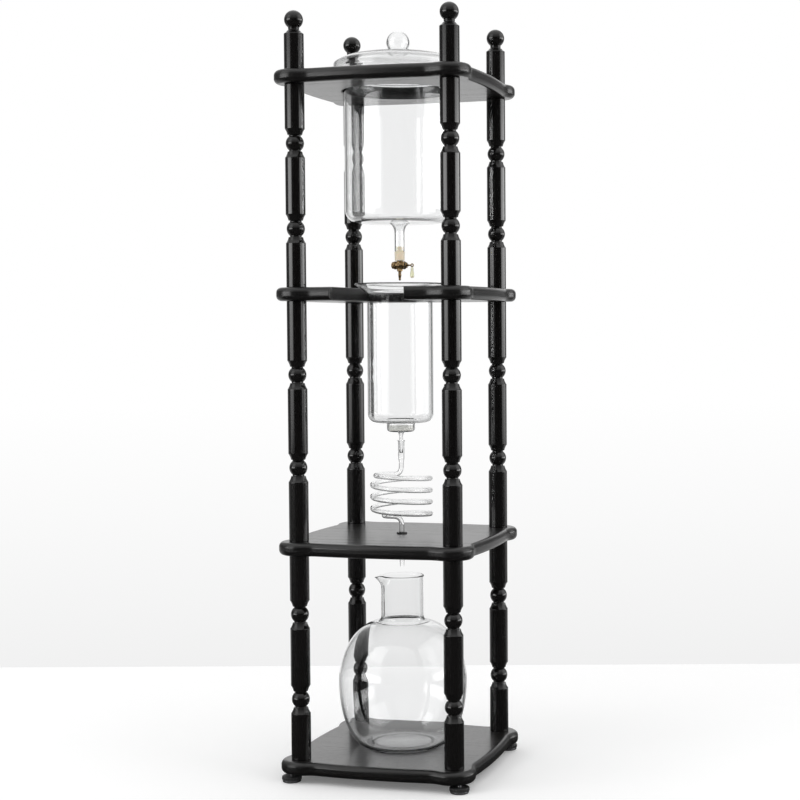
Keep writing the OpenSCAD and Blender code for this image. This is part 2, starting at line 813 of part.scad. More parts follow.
// Rubber grommet that holds the coil's leg in its shelf
module grommet() {
    color(RUBBER) translate([0, 0, coil_shelf_z]) difference() {
        union() {
            cylinder(r = grommet_r, h = board_t);
            translate([0, 0, board_t]) cylinder(r1 = grommet_flange_r, r2 = grommet_flange_r - 1,
                h = grommet_flange_t);
        }
        translate([0, 0, -1]) cylinder(r = tube_r + seat_gap, h = board_t + grommet_flange_t + 2);
    }
}

// ---- Carafe ----

module carafe() {
    r = carafe_d / 2;
    w = carafe_wall;
    neck = carafe_neck_d / 2;
    z0 = base_top + seat_gap;
    belly = z0 + carafe_belly;
    top = z0 + carafe_h;
    shoulder_r = 30;
    shoulder_h = 98;
    neck_z = belly + shoulder_h * sqrt(1 - pow((neck + 5 - shoulder_r) / (r - shoulder_r), 2));
    shoulder_a = acos((neck + 5 - shoulder_r) / (r - shoulder_r));
    outer = concat(
        [[0, z0 + 1.5], [carafe_flat_r - 8, z0 + 1.5], [carafe_flat_r - 5, z0]],
        arc([carafe_flat_r, belly], r - carafe_flat_r, carafe_belly, -90, 0, 20),
        arc([shoulder_r, belly], r - shoulder_r, shoulder_h, 0, shoulder_a, 20),
        arc([neck + 5, neck_z + 6], 5, 6, -90 - 20, -180, 6),
        [[neck, top - 8]],
        arc([neck + 1 - w / 2, top - w / 2], w / 2, w / 2, 0, 180, 8)
    );
    inner = concat(
        [[0, z0 + w + 1.5], [carafe_flat_r - 5, z0 + w + 1.5]],
        arc([carafe_flat_r, belly], r - w - carafe_flat_r, carafe_belly - w - 1, -90, 0, 20),
        arc([shoulder_r, belly], r - w - shoulder_r, shoulder_h - w, 0, shoulder_a, 20),
        [[neck - w, neck_z + 7], [neck - w, top - 8]]
    );
    lip_at = neck - 4;
    lip_r = lip_out + 4;
    color(GLASS) difference() {
        union() {
            rotate_extrude() polygon(concat(outer, reversed(inner)));
            translate([-lip_at, 0, top - lip_h]) cylinder(r1 = lip_foot_r, r2 = lip_r, h = lip_h);
        }
        translate([-lip_at, 0, top - lip_h + lip_wall]) cylinder(r1 = lip_foot_r, r2 = lip_r, h = lip_h);
        translate([0, 0, top - lip_h - 1]) cylinder(r = neck - w, h = lip_h + 2);
    }
}

base_board();
coil_shelf();
cylinder_shelf();
vessel_shelf();
spindle_lower(0);  // spindle_lower_fl
spindle_lower(1);  // spindle_lower_fr
spindle_lower(2);  // spindle_lower_br
spindle_lower(3);  // spindle_lower_bl
spindle_middle(0);  // spindle_middle_fl
spindle_middle(1);  // spindle_middle_fr
spindle_middle(2);  // spindle_middle_br
spindle_middle(3);  // spindle_middle_bl
spindle_upper(0);  // spindle_upper_fl
spindle_upper(1);  // spindle_upper_fr
spindle_upper(2);  // spindle_upper_br
spindle_upper(3);  // spindle_upper_bl
finial(0);  // finial_fl
finial(1);  // finial_fr
finial(2);  // finial_br
finial(3);  // finial_bl
base_screws();
coil_shelf_studs();
cylinder_shelf_studs();
vessel_shelf_studs();
lower_inserts();
middle_inserts();
upper_inserts();
finial_inserts();
foot_nuts();
foot_grip(0);  // foot_grip_fl
foot_grip(1);  // foot_grip_fr
foot_grip(2);  // foot_grip_br
foot_grip(3);  // foot_grip_bl
foot_glide(0);  // foot_glide_fl
foot_glide(1);  // foot_glide_fr
foot_glide(2);  // foot_glide_br
foot_glide(3);  // foot_glide_bl
grommet();
water_vessel();
lid();
valve_stopper();
valve_body();
valve_nozzle();
valve_cap();
valve_washer();
valve_key();
valve_handle();
brew_cylinder();
filter_disc();
coil();
carafe();
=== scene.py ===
"""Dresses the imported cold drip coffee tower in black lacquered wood, clear glass and brass, and lights it.

Sizes inside the classes are in millimetres, as in the part's source. Blender's own units are metres.
"""

import logging
import math
from dataclasses import dataclass, field
from enum import Enum
from typing import Callable, Optional, Sequence

import bmesh
import bpy
from mathutils import Matrix, Vector

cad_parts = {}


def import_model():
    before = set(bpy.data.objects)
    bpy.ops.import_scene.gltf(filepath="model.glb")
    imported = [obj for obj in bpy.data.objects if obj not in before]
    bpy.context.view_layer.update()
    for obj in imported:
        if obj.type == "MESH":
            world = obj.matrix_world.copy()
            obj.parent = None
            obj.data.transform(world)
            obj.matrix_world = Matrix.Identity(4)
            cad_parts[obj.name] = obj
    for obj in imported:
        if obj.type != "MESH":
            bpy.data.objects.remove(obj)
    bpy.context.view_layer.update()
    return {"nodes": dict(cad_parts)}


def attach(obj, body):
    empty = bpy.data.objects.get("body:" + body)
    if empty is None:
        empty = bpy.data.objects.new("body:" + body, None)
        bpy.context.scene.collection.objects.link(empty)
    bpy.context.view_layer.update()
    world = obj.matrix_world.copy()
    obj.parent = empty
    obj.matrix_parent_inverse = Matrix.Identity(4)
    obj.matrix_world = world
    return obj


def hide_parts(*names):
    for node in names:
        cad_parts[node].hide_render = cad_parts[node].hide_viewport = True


LOG = logging.getLogger("tower")
MM = 0.001

# Blender's wave texture makes this many radians out of one unit of its scale
WAVE_UNIT = 20.0
# Edges sharper than these angles in degrees are creases
CREASE = 40.0
GLASS_CREASE = 60.0
BOARD_CREASE = 35.0

Point2 = tuple[float, float]
Point3 = tuple[float, float, float]
Loop = list[Point2]
Node = bpy.types.Node
Socket = bpy.types.NodeSocket
Piece = bpy.types.Object

# Heights above the floor, and plan positions, as in the part's source
BASE_Z, BASE_TOP = 13.0, 34.0
COIL_SHELF_Z, COIL_SHELF_TOP = 354.0, 375.0
CYL_SHELF_Z, CYL_SHELF_TOP = 747.0, 768.0
VESSEL_SHELF_Z, VESSEL_SHELF_TOP = 1079.0, 1100.0
POST_AT = 125.0
FOOT_AT = 136.5
VALVE_Z = 804.5
CORNERS = {"fl": (-1, -1), "fr": (1, -1), "br": (1, 1), "bl": (-1, 1)}


class GrainAxis(Enum):
    """The way in which the wood's grain runs."""

    ALONG_BOARD = "x"
    ALONG_POST = "z"


class ValveAxis(Enum):
    """The axis on which a turned piece of the valve stands."""

    UPRIGHT = "z"
    ACROSS = "x"


# Node helpers


class NodeBench:
    """A short hand for laying out and joining the nodes of one tree."""

    def __init__(self, tree: bpy.types.NodeTree) -> None:
        """Keeps the tree and clears it."""
        self.tree = tree
        tree.nodes.clear()

    def add(self, kind: str, **settings: object) -> Node:
        """Adds a node.

        Args:
            kind: the node's type, without its first word, such as "Math".
            settings: properties of the node; a key of "in_" and a number sets that input's value.

        Returns:
            The new node.
        """
        node = self.tree.nodes.new("ShaderNode" + kind)
        for key, value in settings.items():
            if key.startswith("in_"):
                node.inputs[int(key[3:])].default_value = value
            else:
                setattr(node, key, value)
        return node

    def join(self, source: Socket, target: Socket) -> None:
        """Links two sockets."""
        self.tree.links.new(source, target)

    def feed(self, target: Socket, value: object) -> None:
        """Links an input to a socket, or sets its value.

        Args:
            target: the input.
            value: a socket, a number or a vector.
        """
        if isinstance(value, Socket):
            self.join(value, target)
        else:
            target.default_value = value

    def wire(self, node: Node, values: dict[str, object]) -> None:
        """Feeds the inputs of a node that values names."""
        for name, value in values.items():
            self.feed(node.inputs[name], value)

    def math(self, operation: str, *values: object) -> Socket:
        """Adds a Math node.

        Args:
            operation: the node's operation, such as "MULTIPLY".
            values: numbers or sockets, in the order of the inputs.

        Returns:
            The result's socket.
        """
        node = self.add("Math", operation=operation)
        for target, value in zip(node.inputs, values):
            self.feed(target, value)
        return node.outputs[0]

    def vector(self, operation: str, *values: object) -> Socket:
        """Adds a Vector Math node.

        Args:
            operation: the node's operation, such as "DOT_PRODUCT".
            values: vectors or sockets, in the order of the inputs.

        Returns:
            The socket with the result, which is a number for a dot product.
        """
        node = self.add("VectorMath", operation=operation)
        for target, value in zip(node.inputs, values):
            self.feed(target, value)
        return node.outputs["Value" if operation == "DOT_PRODUCT" else "Vector"]

    def combine(self, *parts: Socket) -> Socket:
        """Joins three numbers into a vector.

        Args:
            parts: the sockets of the three numbers.

        Returns:
            The vector's socket.
        """
        node = self.add("CombineXYZ")
        for target, part in zip(node.inputs, parts):
            self.join(part, target)
        return node.outputs[0]

    def split(self, vector: Socket) -> tuple[Socket, Socket, Socket]:
        """Splits a vector into three numbers.

        Args:
            vector: the vector's socket.

        Returns:
            The sockets of the three numbers.
        """
        node = self.add("SeparateXYZ")
        self.join(vector, node.inputs[0])
        return node.outputs[0], node.outputs[1], node.outputs[2]

    def place(self) -> Socket:
        """Gives the place on the object, in metres."""
        return self.add("TexCoord").outputs["Object"]

    def ray(self, name: str) -> Socket:
        """Gives one output of a Light Path node, such as "Is Camera Ray"."""
        return self.add("LightPath").outputs[name]

    def ramp(self, source: Socket, stops: Sequence[Point2]) -> Socket:
        """Maps a number through straight pieces between stops.

        Args:
            source: the socket with the number.
            stops: pairs of an input value and what it becomes, in rising order.

        Returns:
            The mapped number's socket.
        """
        result: object = stops[0][1]
        for (a, va), (b, vb) in zip(stops, stops[1:]):
            node = self.add("MapRange", clamp=True, in_1=a, in_2=b, in_3=0.0, in_4=vb - va)
            self.join(source, node.inputs[0])
            result = self.math("ADD", node.outputs[0], result)
        return result

    def noise(self, vector: Socket, scale: float, detail: float = 2.0, roughness: float = 0.5) -> Socket:
        """Adds a 3D noise texture.

        Args:
            vector: the socket with the coordinates.
            scale: how fine the noise is.
            detail: its octaves.
            roughness: how strong the finer octaves are.

        Returns:
            The factor's socket.
        """
        node = self.add("TexNoise", in_2=scale, in_3=detail, in_4=roughness)
        self.join(vector, node.inputs["Vector"])
        return node.outputs["Fac"]

    def blend(self, factor: Socket, dark: Point3, light: Point3) -> Socket:
        """Mixes two colours.

        Args:
            factor: the socket with the share of the second colour.
            dark: the colour at 0.
            light: the colour at 1.

        Returns:
            The mixed colour's socket.
        """
        node = self.add("Mix", data_type="RGBA", in_6=(*dark, 1.0), in_7=(*light, 1.0))
        self.join(factor, node.inputs["Factor"])
        return node.outputs[2]

    def bump(
        self, height: Socket, distance: float, strength: float = 1.0, under: Optional[Socket] = None
    ) -> Socket:
        """Adds a Bump node.

        Args:
            height: the socket with the height, from 0 to 1.
            distance: the depth of the relief in metres.
            strength: how much of it shows.
            under: a normal that it builds on.

        Returns:
            The normal's socket.
        """
        node = self.add("Bump")
        self.wire(node, {"Strength": strength, "Distance": distance, "Height": height})
        if under is not None:
            self.join(under, node.inputs["Normal"])
        return node.outputs["Normal"]

    def switch(self, factor: Socket, first: Node, second: Node) -> Socket:
        """Mixes two shaders.

        Args:
            factor: 0 for the first and 1 for the second.
            first: the first shader.
            second: the second shader.

        Returns:
            The mixed shader's socket.
        """
        node = self.add("MixShader")
        for target, source in zip(node.inputs, (factor, first.outputs[0], second.outputs[0])):
            self.join(source, target)
        return node.outputs[0]


class MaterialBench(NodeBench):
    """The bench of a new material with one Principled shader."""

    def __init__(self, name: str) -> None:
        """Makes the material, its shader and its output.

        Args:
            name: the material's name.
        """
        self.material = bpy.data.materials.new(name)
        self.material.use_nodes = True
        super().__init__(self.material.node_tree)
        self.shader = self.add("BsdfPrincipled")
        self.output = self.add("OutputMaterial")
        self.join(self.shader.outputs[0], self.output.inputs["Surface"])


# Finishes


@dataclass(frozen=True)
class LacqueredWood:
    """Black satin lacquer over open-grained wood."""

    axis: GrainAxis
    dark: Point3 = (0.0010, 0.0009, 0.0009)
    light: Point3 = (0.0058, 0.0050, 0.0047)
    roughness: float = 0.30
    coat: float = 0.35
    coat_roughness: float = 0.14
    specular: float = 0.5
    relief: float = 0.6
    ring: float = 4.6
    stave: float = 62.0
    drift: float = 0.075
    spread: Point2 = (0.09, 0.12)
    streaks: Point3 = (26.0, 1500.0, 1500.0)
    pores: Point3 = (85.0, 2300.0, 2300.0)
    depths: Point3 = (0.00006, 0.00008, 0.00016)

    def make(self) -> bpy.types.Material:
        """Builds the material.

        Returns:
            A material whose grain runs through the solid, so that faces and end grain agree.
        """
        bench = MaterialBench(f"black_wood_{self.axis.value}")
        place = bench.place()
        along, across, deep = bench.split(place)
        if self.axis is GrainAxis.ALONG_POST:
            along, across, deep = deep, along, across
        grain = bench.combine(along, across, deep)
        hashed = bench.add("TexWhiteNoise", noise_dimensions="1D")
        bench.join(self._number(bench, across, deep), hashed.inputs["W"])
        shift, turn, lift = bench.split(hashed.outputs["Color"])
        heart = bench.combine(
            bench.math("MULTIPLY_ADD", along, self.drift, shift),
            bench.math("MULTIPLY_ADD", turn, self.spread[0], across),
            bench.math("MULTIPLY_ADD", lift, self.spread[1], deep),
        )
        rings = bench.add(
            "TexWave", wave_type="RINGS", rings_direction="X", wave_profile="SAW",
            in_1=math.tau / (WAVE_UNIT * self.ring * MM), in_2=2.2, in_3=3.0, in_4=0.35, in_5=0.55
        )
        bench.join(heart, rings.inputs[0])
        ring = rings.outputs["Fac"]
        streak = bench.noise(bench.vector("MULTIPLY", grain, self.streaks), 1.0, 3.0, 0.62)
        pore = bench.noise(bench.vector("MULTIPLY", grain, self.pores), 1.0, 1.0, 0.4)
        early = bench.ramp(ring, [(0.12, 1.0), (0.55, 0.12)])
        pore = bench.math("MULTIPLY", bench.ramp(pore, [(0.56, 0.0), (0.66, 1.0)]), early)
        tone = bench.math("MULTIPLY_ADD", streak, 0.7, bench.math("MULTIPLY", ring, 0.3))
        tone = bench.math("MULTIPLY_ADD", turn, 0.18, tone)
        tone = bench.ramp(tone, [(0.28, 0.0), (0.86, 1.0)])
        rough = bench.math("MULTIPLY_ADD", streak, 0.10, self.roughness - 0.09)
        rough = bench.math("MULTIPLY_ADD", bench.noise(place, 9.0), 0.08, rough)
        rough = bench.math("MULTIPLY_ADD", pore, 0.22, rough)
        ring_deep, streak_deep, pore_deep = (depth * self.relief for depth in self.depths)
        normal = bench.bump(ring, ring_deep, 0.8)
        normal = bench.bump(streak, streak_deep, 0.8, normal)
        normal = bench.bump(bench.math("SUBTRACT", 1.0, pore), pore_deep, 0.9, normal)
        bench.wire(bench.shader, {
            "Base Color": bench.blend(tone, self.dark, self.light), "Roughness": rough, "Normal": normal,
            "Coat Weight": self.coat, "Coat Roughness": self.coat_roughness, "IOR": 1.5,
            "Specular IOR Level": self.specular,
        })
        return bench.material

    def _number(self, bench: NodeBench, across: Socket, deep: Socket) -> Socket:
        """Counts the glued staves of a board, or the posts, so that each has its own place in the tree.

        Args:
            bench: the material's bench.
            across: the coordinate across the grain.
            deep: the other coordinate across it.

        Returns:
            The socket with the number, which is the same all over a stave or a post.
        """
        if self.axis is GrainAxis.ALONG_BOARD:
            shifted = bench.math("ADD", across, 0.5)
            return bench.math("FLOOR", bench.math("DIVIDE", shifted, self.stave * MM))
        back = bench.math("GREATER_THAN", deep, 0.0)
        return bench.math(
            "MULTIPLY_ADD", bench.math("GREATER_THAN", across, 0.0), 2.0, bench.math("ADD", back, 3.0)
        )


@dataclass(frozen=True)
class ClearGlass:
    """Clear fire-polished glass with a faint cool tint in its thickness, clear to shadow rays."""

    ior: float = 1.47
    tint: Point3 = (0.60, 0.70, 0.74)
    density: float = 8.0
    shade: Point3 = (0.93, 0.945, 0.95)
    wave_scale: float = 14.0
    wave_depth: float = 0.0006

    def make(self) -> bpy.types.Material:
        """Builds the material.

        Returns:
            A refracting material with absorption inside it and faint waves on its skin.
        """
        bench = MaterialBench("clear_glass")
        drawn = bench.vector("MULTIPLY", bench.place(), (1.0, 1.0, 0.35))
        waves = bench.bump(bench.noise(drawn, self.wave_scale, 1.0, 0.4), self.wave_depth, 0.5)
        bench.wire(bench.shader, {
            "Base Color": (1.0, 1.0, 1.0, 1.0), "Transmission Weight": 1.0, "Roughness": 0.0,
            "IOR": self.ior, "Normal": waves,
        })
        clear = bench.add("BsdfTransparent", in_0=(*self.shade, 1.0))
        surface = bench.switch(bench.ray("Is Shadow Ray"), bench.shader, clear)
        inside = bench.add("VolumeAbsorption")
        bench.wire(inside, {"Color": (*self.tint, 1.0), "Density": self.density})
        bench.wire(bench.output, {"Surface": surface, "Volume": inside.outputs[0]})
        return bench.material


@dataclass(frozen=True)
class TurnedMetal:
    """Metal with lathe marks, tarnish in its hollows and bright edges."""

    name: str
    bright: Point3
    dull: Point3
    roughness: float
    tarnish: float
    marks: float = 0.00002

    def make(self) -> bpy.types.Material:
        """Builds the material.

        Returns:
            A metallic material whose tone follows wear and a fine noise.
        """
        bench = MaterialBench(self.name)
        place = bench.place()
        edges = bench.add("NewGeometry").outputs["Pointiness"]
        wear = bench.ramp(edges, [(0.46, 0.0), (0.56, 1.0)])
        cloud = bench.noise(place, 420.0, 4.0, 0.6)
        tone = bench.math("MULTIPLY_ADD", cloud, self.tarnish, bench.math("MULTIPLY", wear, 0.75))
        tone = bench.math("ADD", tone, 0.5 - 0.6 * self.tarnish)
        tone = bench.ramp(tone, [(0.15, 0.0), (0.95, 1.0)])
        rough = bench.math("MULTIPLY_ADD", cloud, 0.16, self.roughness - 0.08)
        rough = bench.math("MULTIPLY_ADD", bench.noise(place, 1900.0), 0.08, rough)
        marks = bench.noise(bench.vector("MULTIPLY", place, (6000.0, 400.0, 6000.0)), 1.0)
        bench.wire(bench.shader, {
            "Base Color": bench.blend(tone, self.dull, self.bright), "Roughness": rough, "Metallic": 1.0,
            "Normal": bench.bump(marks, self.marks, 0.6),
        })
        return bench.material


@dataclass(frozen=True)
class MouldedMaterial:
    """Plastic, rubber, silicone or ceramic with a fine surface."""

    name: str
    base: Point3
    other: Point3
    roughness: float
    pit_scale: float
    pit_depth: float
    cloud_scale: float = 90.0
    subsurface: float = 0.0
    coat: float = 0.0

    def make(self) -> bpy.types.Material:
        """Builds the material.

        Returns:
            A material with a faint cloudiness in its colour and a fine relief.
        """
        bench = MaterialBench(self.name)
        place = bench.place()
        cloud = bench.noise(place, self.cloud_scale, 3.0, 0.55)
        pits = bench.noise(place, self.pit_scale)
        bench.wire(bench.shader, {
            "Base Color": bench.blend(cloud, self.base, self.other),
            "Roughness": bench.math("MULTIPLY_ADD", pits, 0.12, self.roughness - 0.06),
            "Normal": bench.bump(pits, self.pit_depth, 0.8),
            "Subsurface Weight": self.subsurface, "Subsurface Radius": (1.0, 0.8, 0.55),
            "Subsurface Scale": 0.004, "Coat Weight": self.coat, "Coat Roughness": 0.08,
        })
        return bench.material


@dataclass
class FinishShelf:
    """All finishes of the tower, made once and handed out by name."""

    made: dict[str, bpy.types.Material] = field(default_factory=dict)

    def fill(self) -> None:
        """Builds every material."""
        finishes = {
            "board": LacqueredWood(GrainAxis.ALONG_BOARD),
            "post": LacqueredWood(
                GrainAxis.ALONG_POST, roughness=0.22, coat=0.8, coat_roughness=0.07, specular=0.22,
                relief=0.3, ring=3.1
            ),
            "glass": ClearGlass(),
            "brass": TurnedMetal("valve_brass", (0.42, 0.29, 0.15), (0.030, 0.020, 0.011), 0.22, 0.9),
            "insert": TurnedMetal("insert_brass", (0.88, 0.66, 0.33), (0.55, 0.38, 0.16), 0.3, 0.4),
            "steel": TurnedMetal("zinc_steel", (0.78, 0.78, 0.80), (0.42, 0.42, 0.44), 0.3, 0.4),
            "chrome": TurnedMetal(
                "glide_chrome", (0.88, 0.88, 0.90), (0.60, 0.60, 0.62), 0.12, 0.3, 0.000006
            ),
            "grip": MouldedMaterial(
                "grip_plastic", (0.014, 0.014, 0.015), (0.022, 0.022, 0.022), 0.42, 2600.0, 0.00003
            ),
            "rubber": MouldedMaterial(
                "black_rubber", (0.012, 0.012, 0.012), (0.02, 0.02, 0.019), 0.55, 1500.0, 0.00004
            ),
            "stopper": MouldedMaterial(
                "stopper_silicone", (0.84, 0.70, 0.52), (0.93, 0.83, 0.68), 0.38, 900.0, 0.00003,
                160.0, 0.55
            ),
            "cream": MouldedMaterial(
                "handle_cream", (0.90, 0.86, 0.56), (0.95, 0.93, 0.72), 0.22, 700.0, 0.00001,
                260.0, 0.35, 0.5
            ),
            "ceramic": MouldedMaterial(
                "porous_ceramic", (0.80, 0.78, 0.72), (0.90, 0.885, 0.84), 0.75, 2200.0, 0.00018
            ),
        }
        for key, finish in finishes.items():
            self.made[key] = finish.make()


@dataclass
class Assembly:
    """A sub-assembly, which dresses its pieces from one shelf of finishes."""

    shelf: FinishShelf

    def dress(self, piece: Piece, finish: str, body: str, node: str, slot: str) -> Piece:
        """Gives a piece its finish and its body, and hides the CAD node that it stands for.

        Args:
            piece: the piece.
            finish: the finish's name on the shelf.
            body: the CAD body that it moves with.
            node: the CAD node that it replaces.
            slot: the CAD material's name; not used.

        Returns:
            The piece.
        """
        piece.data.materials.clear()
        piece.data.materials.append(self.shelf.made[finish])
        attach(piece, body)
        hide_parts(node)
        return piece

    def dress_node(self, node: Piece, finish: str) -> Piece:
        """Puts a finish in every slot of a CAD node that is kept.

        Args:
            node: the CAD node's object.
            finish: the finish's name on the shelf.

        Returns:
            The object.
        """
        for slot in node.material_slots:
            slot.link = "OBJECT"
            slot.material = self.shelf.made[finish]
        return node


# Mesh helpers


def arc(centre: Point2, rx: float, rz: float, start: float, end: float, steps: int) -> Loop:
    """Gives points of an arc of an ellipse with half axes rx and rz, between two angles in degrees."""
    angles = [math.radians(start + (end - start) * i / steps) for i in range(steps + 1)]
    return [(centre[0] + rx * math.cos(a), centre[1] + rz * math.sin(a)) for a in angles]


def line(start: Point2, end: Point2, steps: int) -> Loop:
    """Gives evenly spaced points from start to end."""
    (x, z), (dx, dz) = start, (end[0] - start[0], end[1] - start[1])
    return [(x + dx * i / steps, z + dz * i / steps) for i in range(steps + 1)]


def tidy_profile(points: Loop, least: float = 0.02) -> Loop:
    """Drops points that lie on the one before them.

    Args:
        points: the profile.
        least: the smallest gap that stays.

    Returns:
        The profile without them.
    """
    kept = [points[0]]
    for point in points[1:]:
        if math.dist(point, kept[-1]) > least:
            kept.append(point)
    return kept


def turn_point(angle: float) -> Point2:
    """Gives the cosine and sine of an angle in degrees."""
    return math.cos(math.radians(angle)), math.sin(math.radians(angle))


def bridge(bm: bmesh.types.BMesh, low: list[bmesh.types.BMVert], high: list[bmesh.types.BMVert]) -> None:
    """Joins two rings of points with faces.

    Args:
        bm: the mesh.
        low: the first ring; a ring of one point is a pole.
        high: the second ring.
    """
    count = max(len(low), len(high))
    for k in range(count):
        n = (k + 1) % count
        ring = [low[k % len(low)], low[n % len(low)], high[n % len(high)], high[k % len(high)]]
        unique = list(dict.fromkeys(ring))
        if len(unique) > 2:
            bm.faces.new(unique)


def finish_mesh(name: str, bm: bmesh.types.BMesh, sharp: float = CREASE) -> Piece:
    """Turns a bmesh into an object with smooth faces and sharp creases.

    Args:
        name: the object's name.
        bm: the mesh, in metres, which is freed.
        sharp: the angle in degrees above which an edge is a crease.

    Returns:
        The linked object.
    """
    bmesh.ops.recalc_face_normals(bm, faces=bm.faces)
    mesh = bpy.data.meshes.new(name)
    bm.to_mesh(mesh)
    bm.free()
    mesh.shade_smooth()
    mesh.set_sharp_from_angle(angle=math.radians(sharp))
    piece = bpy.data.objects.new(name, mesh)
    bpy.context.scene.collection.objects.link(piece)
    return piece


def stack(name: str, rings: Sequence[Sequence[Point3]], sharp: float = CREASE) -> Piece:
    """Joins rings of points into a solid that is closed by a flat face at both ends.

    Args:
        name: the object's name.
        rings: the rings' points, in millimetres.
        sharp: the angle above which an edge is a crease.

    Returns:
        The object.
    """
    bm = bmesh.new()
    rows = [[bm.verts.new((x * MM, y * MM, z * MM)) for x, y, z in ring] for ring in rings]
    for low, high in zip(rows, rows[1:]):
        bridge(bm, low, high)
    bm.faces.new(rows[0])
    bm.faces.new(rows[-1])
    return finish_mesh(name, bm, sharp)


@dataclass(frozen=True)
class Flutes:
    """Ribs round a turned piece, between two heights of its profile."""

    count: int
    depth: float
    low: float
    high: float

    def cut(self, radius: float, height: float, angle: float) -> float:
        """Gives the radius with the flute's depth taken off.

        Args:
            radius: the plain radius.
            height: the height along the profile.
            angle: the angle round the axis, in radians.

        Returns:
            The radius at that angle.
        """
        if not self.low <= height <= self.high:
            return radius
        return radius - self.depth * (0.5 - 0.5 * math.cos(self.count * angle)) ** 0.6


@dataclass
class Lathe:
    """Turns profiles into meshes round an axis."""

    steps: int = 128
    axis: ValveAxis = ValveAxis.UPRIGHT
    at: Point3 = (0.0, 0.0, 0.0)
    pole: float = 1e-4

    def place(self, radius: float, height: float, angle: float) -> Vector:
        """Gives a point of the turned piece.

        Args:
            radius: how far it is from the axis.
            height: how far along the axis it is.
            angle: the angle round the axis, in radians.

        Returns:
            The point, in metres.
        """
        x, y = radius * math.cos(angle), radius * math.sin(angle)
        local = (x, y, height) if self.axis is ValveAxis.UPRIGHT else (height, x, y)
        return (Vector(local) + Vector(self.at)) * MM

    def turn(
        self, bm: bmesh.types.BMesh, profile: Loop, closed: bool = False, flutes: Optional[Flutes] = None,
        push: Optional[Callable[[float, float, float], Point2]] = None,
    ) -> None:
        """Turns one profile into a bmesh, without points that lie on the one before them.

        Args:
            bm: the mesh that it is added to.
            profile: points of radius and height, in millimetres.
            closed: true if the profile's end joins its start, as for a wall with a hollow inside.
            flutes: ribs round the piece.
            push: gives a new radius and height for a radius, a height and an angle.
        """
        rows = []
        for radius, height in tidy_profile(profile):
            if radius < self.pole:
                rows.append([bm.verts.new(self.place(0.0, height, 0.0))])
                continue
            row = []
            for k in range(self.steps):
                angle = math.tau * k / self.steps
                r, h = (flutes.cut(radius, height, angle) if flutes else radius), height
                if push:
                    r, h = push(r, height, angle)
                row.append(bm.verts.new(self.place(r, h, angle)))
            rows.append(row)
        for low, high in zip(rows, rows[1:] + (rows[:1] if closed else [])):
            bridge(bm, low, high)

    def make(self, name: str, profile: Loop, closed: bool = False, sharp: float = CREASE) -> Piece:
        """Turns one profile into an object.

        Args:
            name: the object's name.
            profile: points of radius and height, in millimetres.
            closed: true if the profile's end joins its start.
            sharp: the angle above which an edge is a crease.

        Returns:
            The object.
        """
        bm = bmesh.new()
        self.turn(bm, profile, closed)
        return finish_mesh(name, bm, sharp)


def sweep(
    bm: bmesh.types.BMesh, route: Sequence[Vector], outer: Sequence[float], inner: Sequence[float], sides: int
) -> None:
    """Draws a hollow tube along a route, with both ends closed by flat rings.

    Args:
        bm: the mesh that it is added to.
        route: points in millimetres.
        outer: the outer radius at each point.
        inner: the bore's radius at each point.
        sides: how many sides the tube has.
    """
    last = len(route) - 1
    tangents = [(route[min(i + 1, last)] - route[max(i - 1, 0)]).normalized() for i in range(last + 1)]
    side = Vector((0.0, 1.0, 0.0))
    skins: list[list[list[bmesh.types.BMVert]]] = [[], []]
    for i, tangent in enumerate(tangents):
        side = (side - side.dot(tangent) * tangent).normalized()
        up = tangent.cross(side)
        for skin, radius in zip(skins, (outer[i], inner[i])):
            row = []
            for k in range(sides):
                a = math.tau * k / sides
                row.append(bm.verts.new((route[i] + radius * (math.cos(a) * side + math.sin(a) * up)) * MM))
            skin.append(row)
    for skin in skins:
        for low, high in zip(skin, skin[1:]):
            bridge(bm, low, high)
    for end in (0, -1):
        bridge(bm, skins[0][end], skins[1][end])


def smooth_route(points: Sequence[Vector], passes: int, held: int) -> list[Vector]:
    """Rounds the corners of a route.

    Args:
        points: the route.
        passes: how often each point moves towards the middle of its neighbours.
        held: how many points at each end stay in place.

    Returns:
        The smoothed route.
    """
    now = [p.copy() for p in points]
    for _ in range(passes):
        new = [p.copy() for p in now]
        for i in range(held, len(now) - held):
            new[i] = (now[i - 1] + now[i] * 2 + now[i + 1]) / 4
        now = new
    return now


def even_route(points: Sequence[Vector], gap: float) -> list[Vector]:
    """Gives points a fixed distance apart along a route.

    Args:
        points: the route.
        gap: the distance wanted, in the route's unit.

    Returns:
        The new points, with both ends kept.
    """
    lengths = [0.0]
    for a, b in zip(points, points[1:]):
        lengths.append(lengths[-1] + (b - a).length)
    count = max(2, round(lengths[-1] / gap))
    result, j = [], 0
    for i in range(count + 1):
        want = lengths[-1] * i / count
        while j < len(points) - 2 and lengths[j + 1] < want:
            j += 1
        span = max(lengths[j + 1] - lengths[j], 1e-9)
        result.append(points[j].lerp(points[j + 1], (want - lengths[j]) / span))
    return result


def carve(piece: Piece, cutters: Sequence[Piece]) -> None:
    """Cuts other closed meshes out of a piece, and deletes them.

    Args:
        piece: the mesh that is cut.
        cutters: the closed meshes to take away.
    """
    for cutter in cutters:
        cut = piece.modifiers.new("cut", "BOOLEAN")
        cut.operation, cut.solver, cut.object = "DIFFERENCE", "EXACT", cutter
    evaluated = piece.evaluated_get(bpy.context.evaluated_depsgraph_get())
    mesh = bpy.data.meshes.new_from_object(evaluated)
    piece.modifiers.clear()
    old, piece.data = piece.data, mesh
    bpy.data.meshes.remove(old)
    for cutter in cutters:
        bpy.data.objects.remove(cutter)
    mesh.shade_smooth()
    mesh.set_sharp_from_angle(angle=math.radians(BOARD_CREASE))


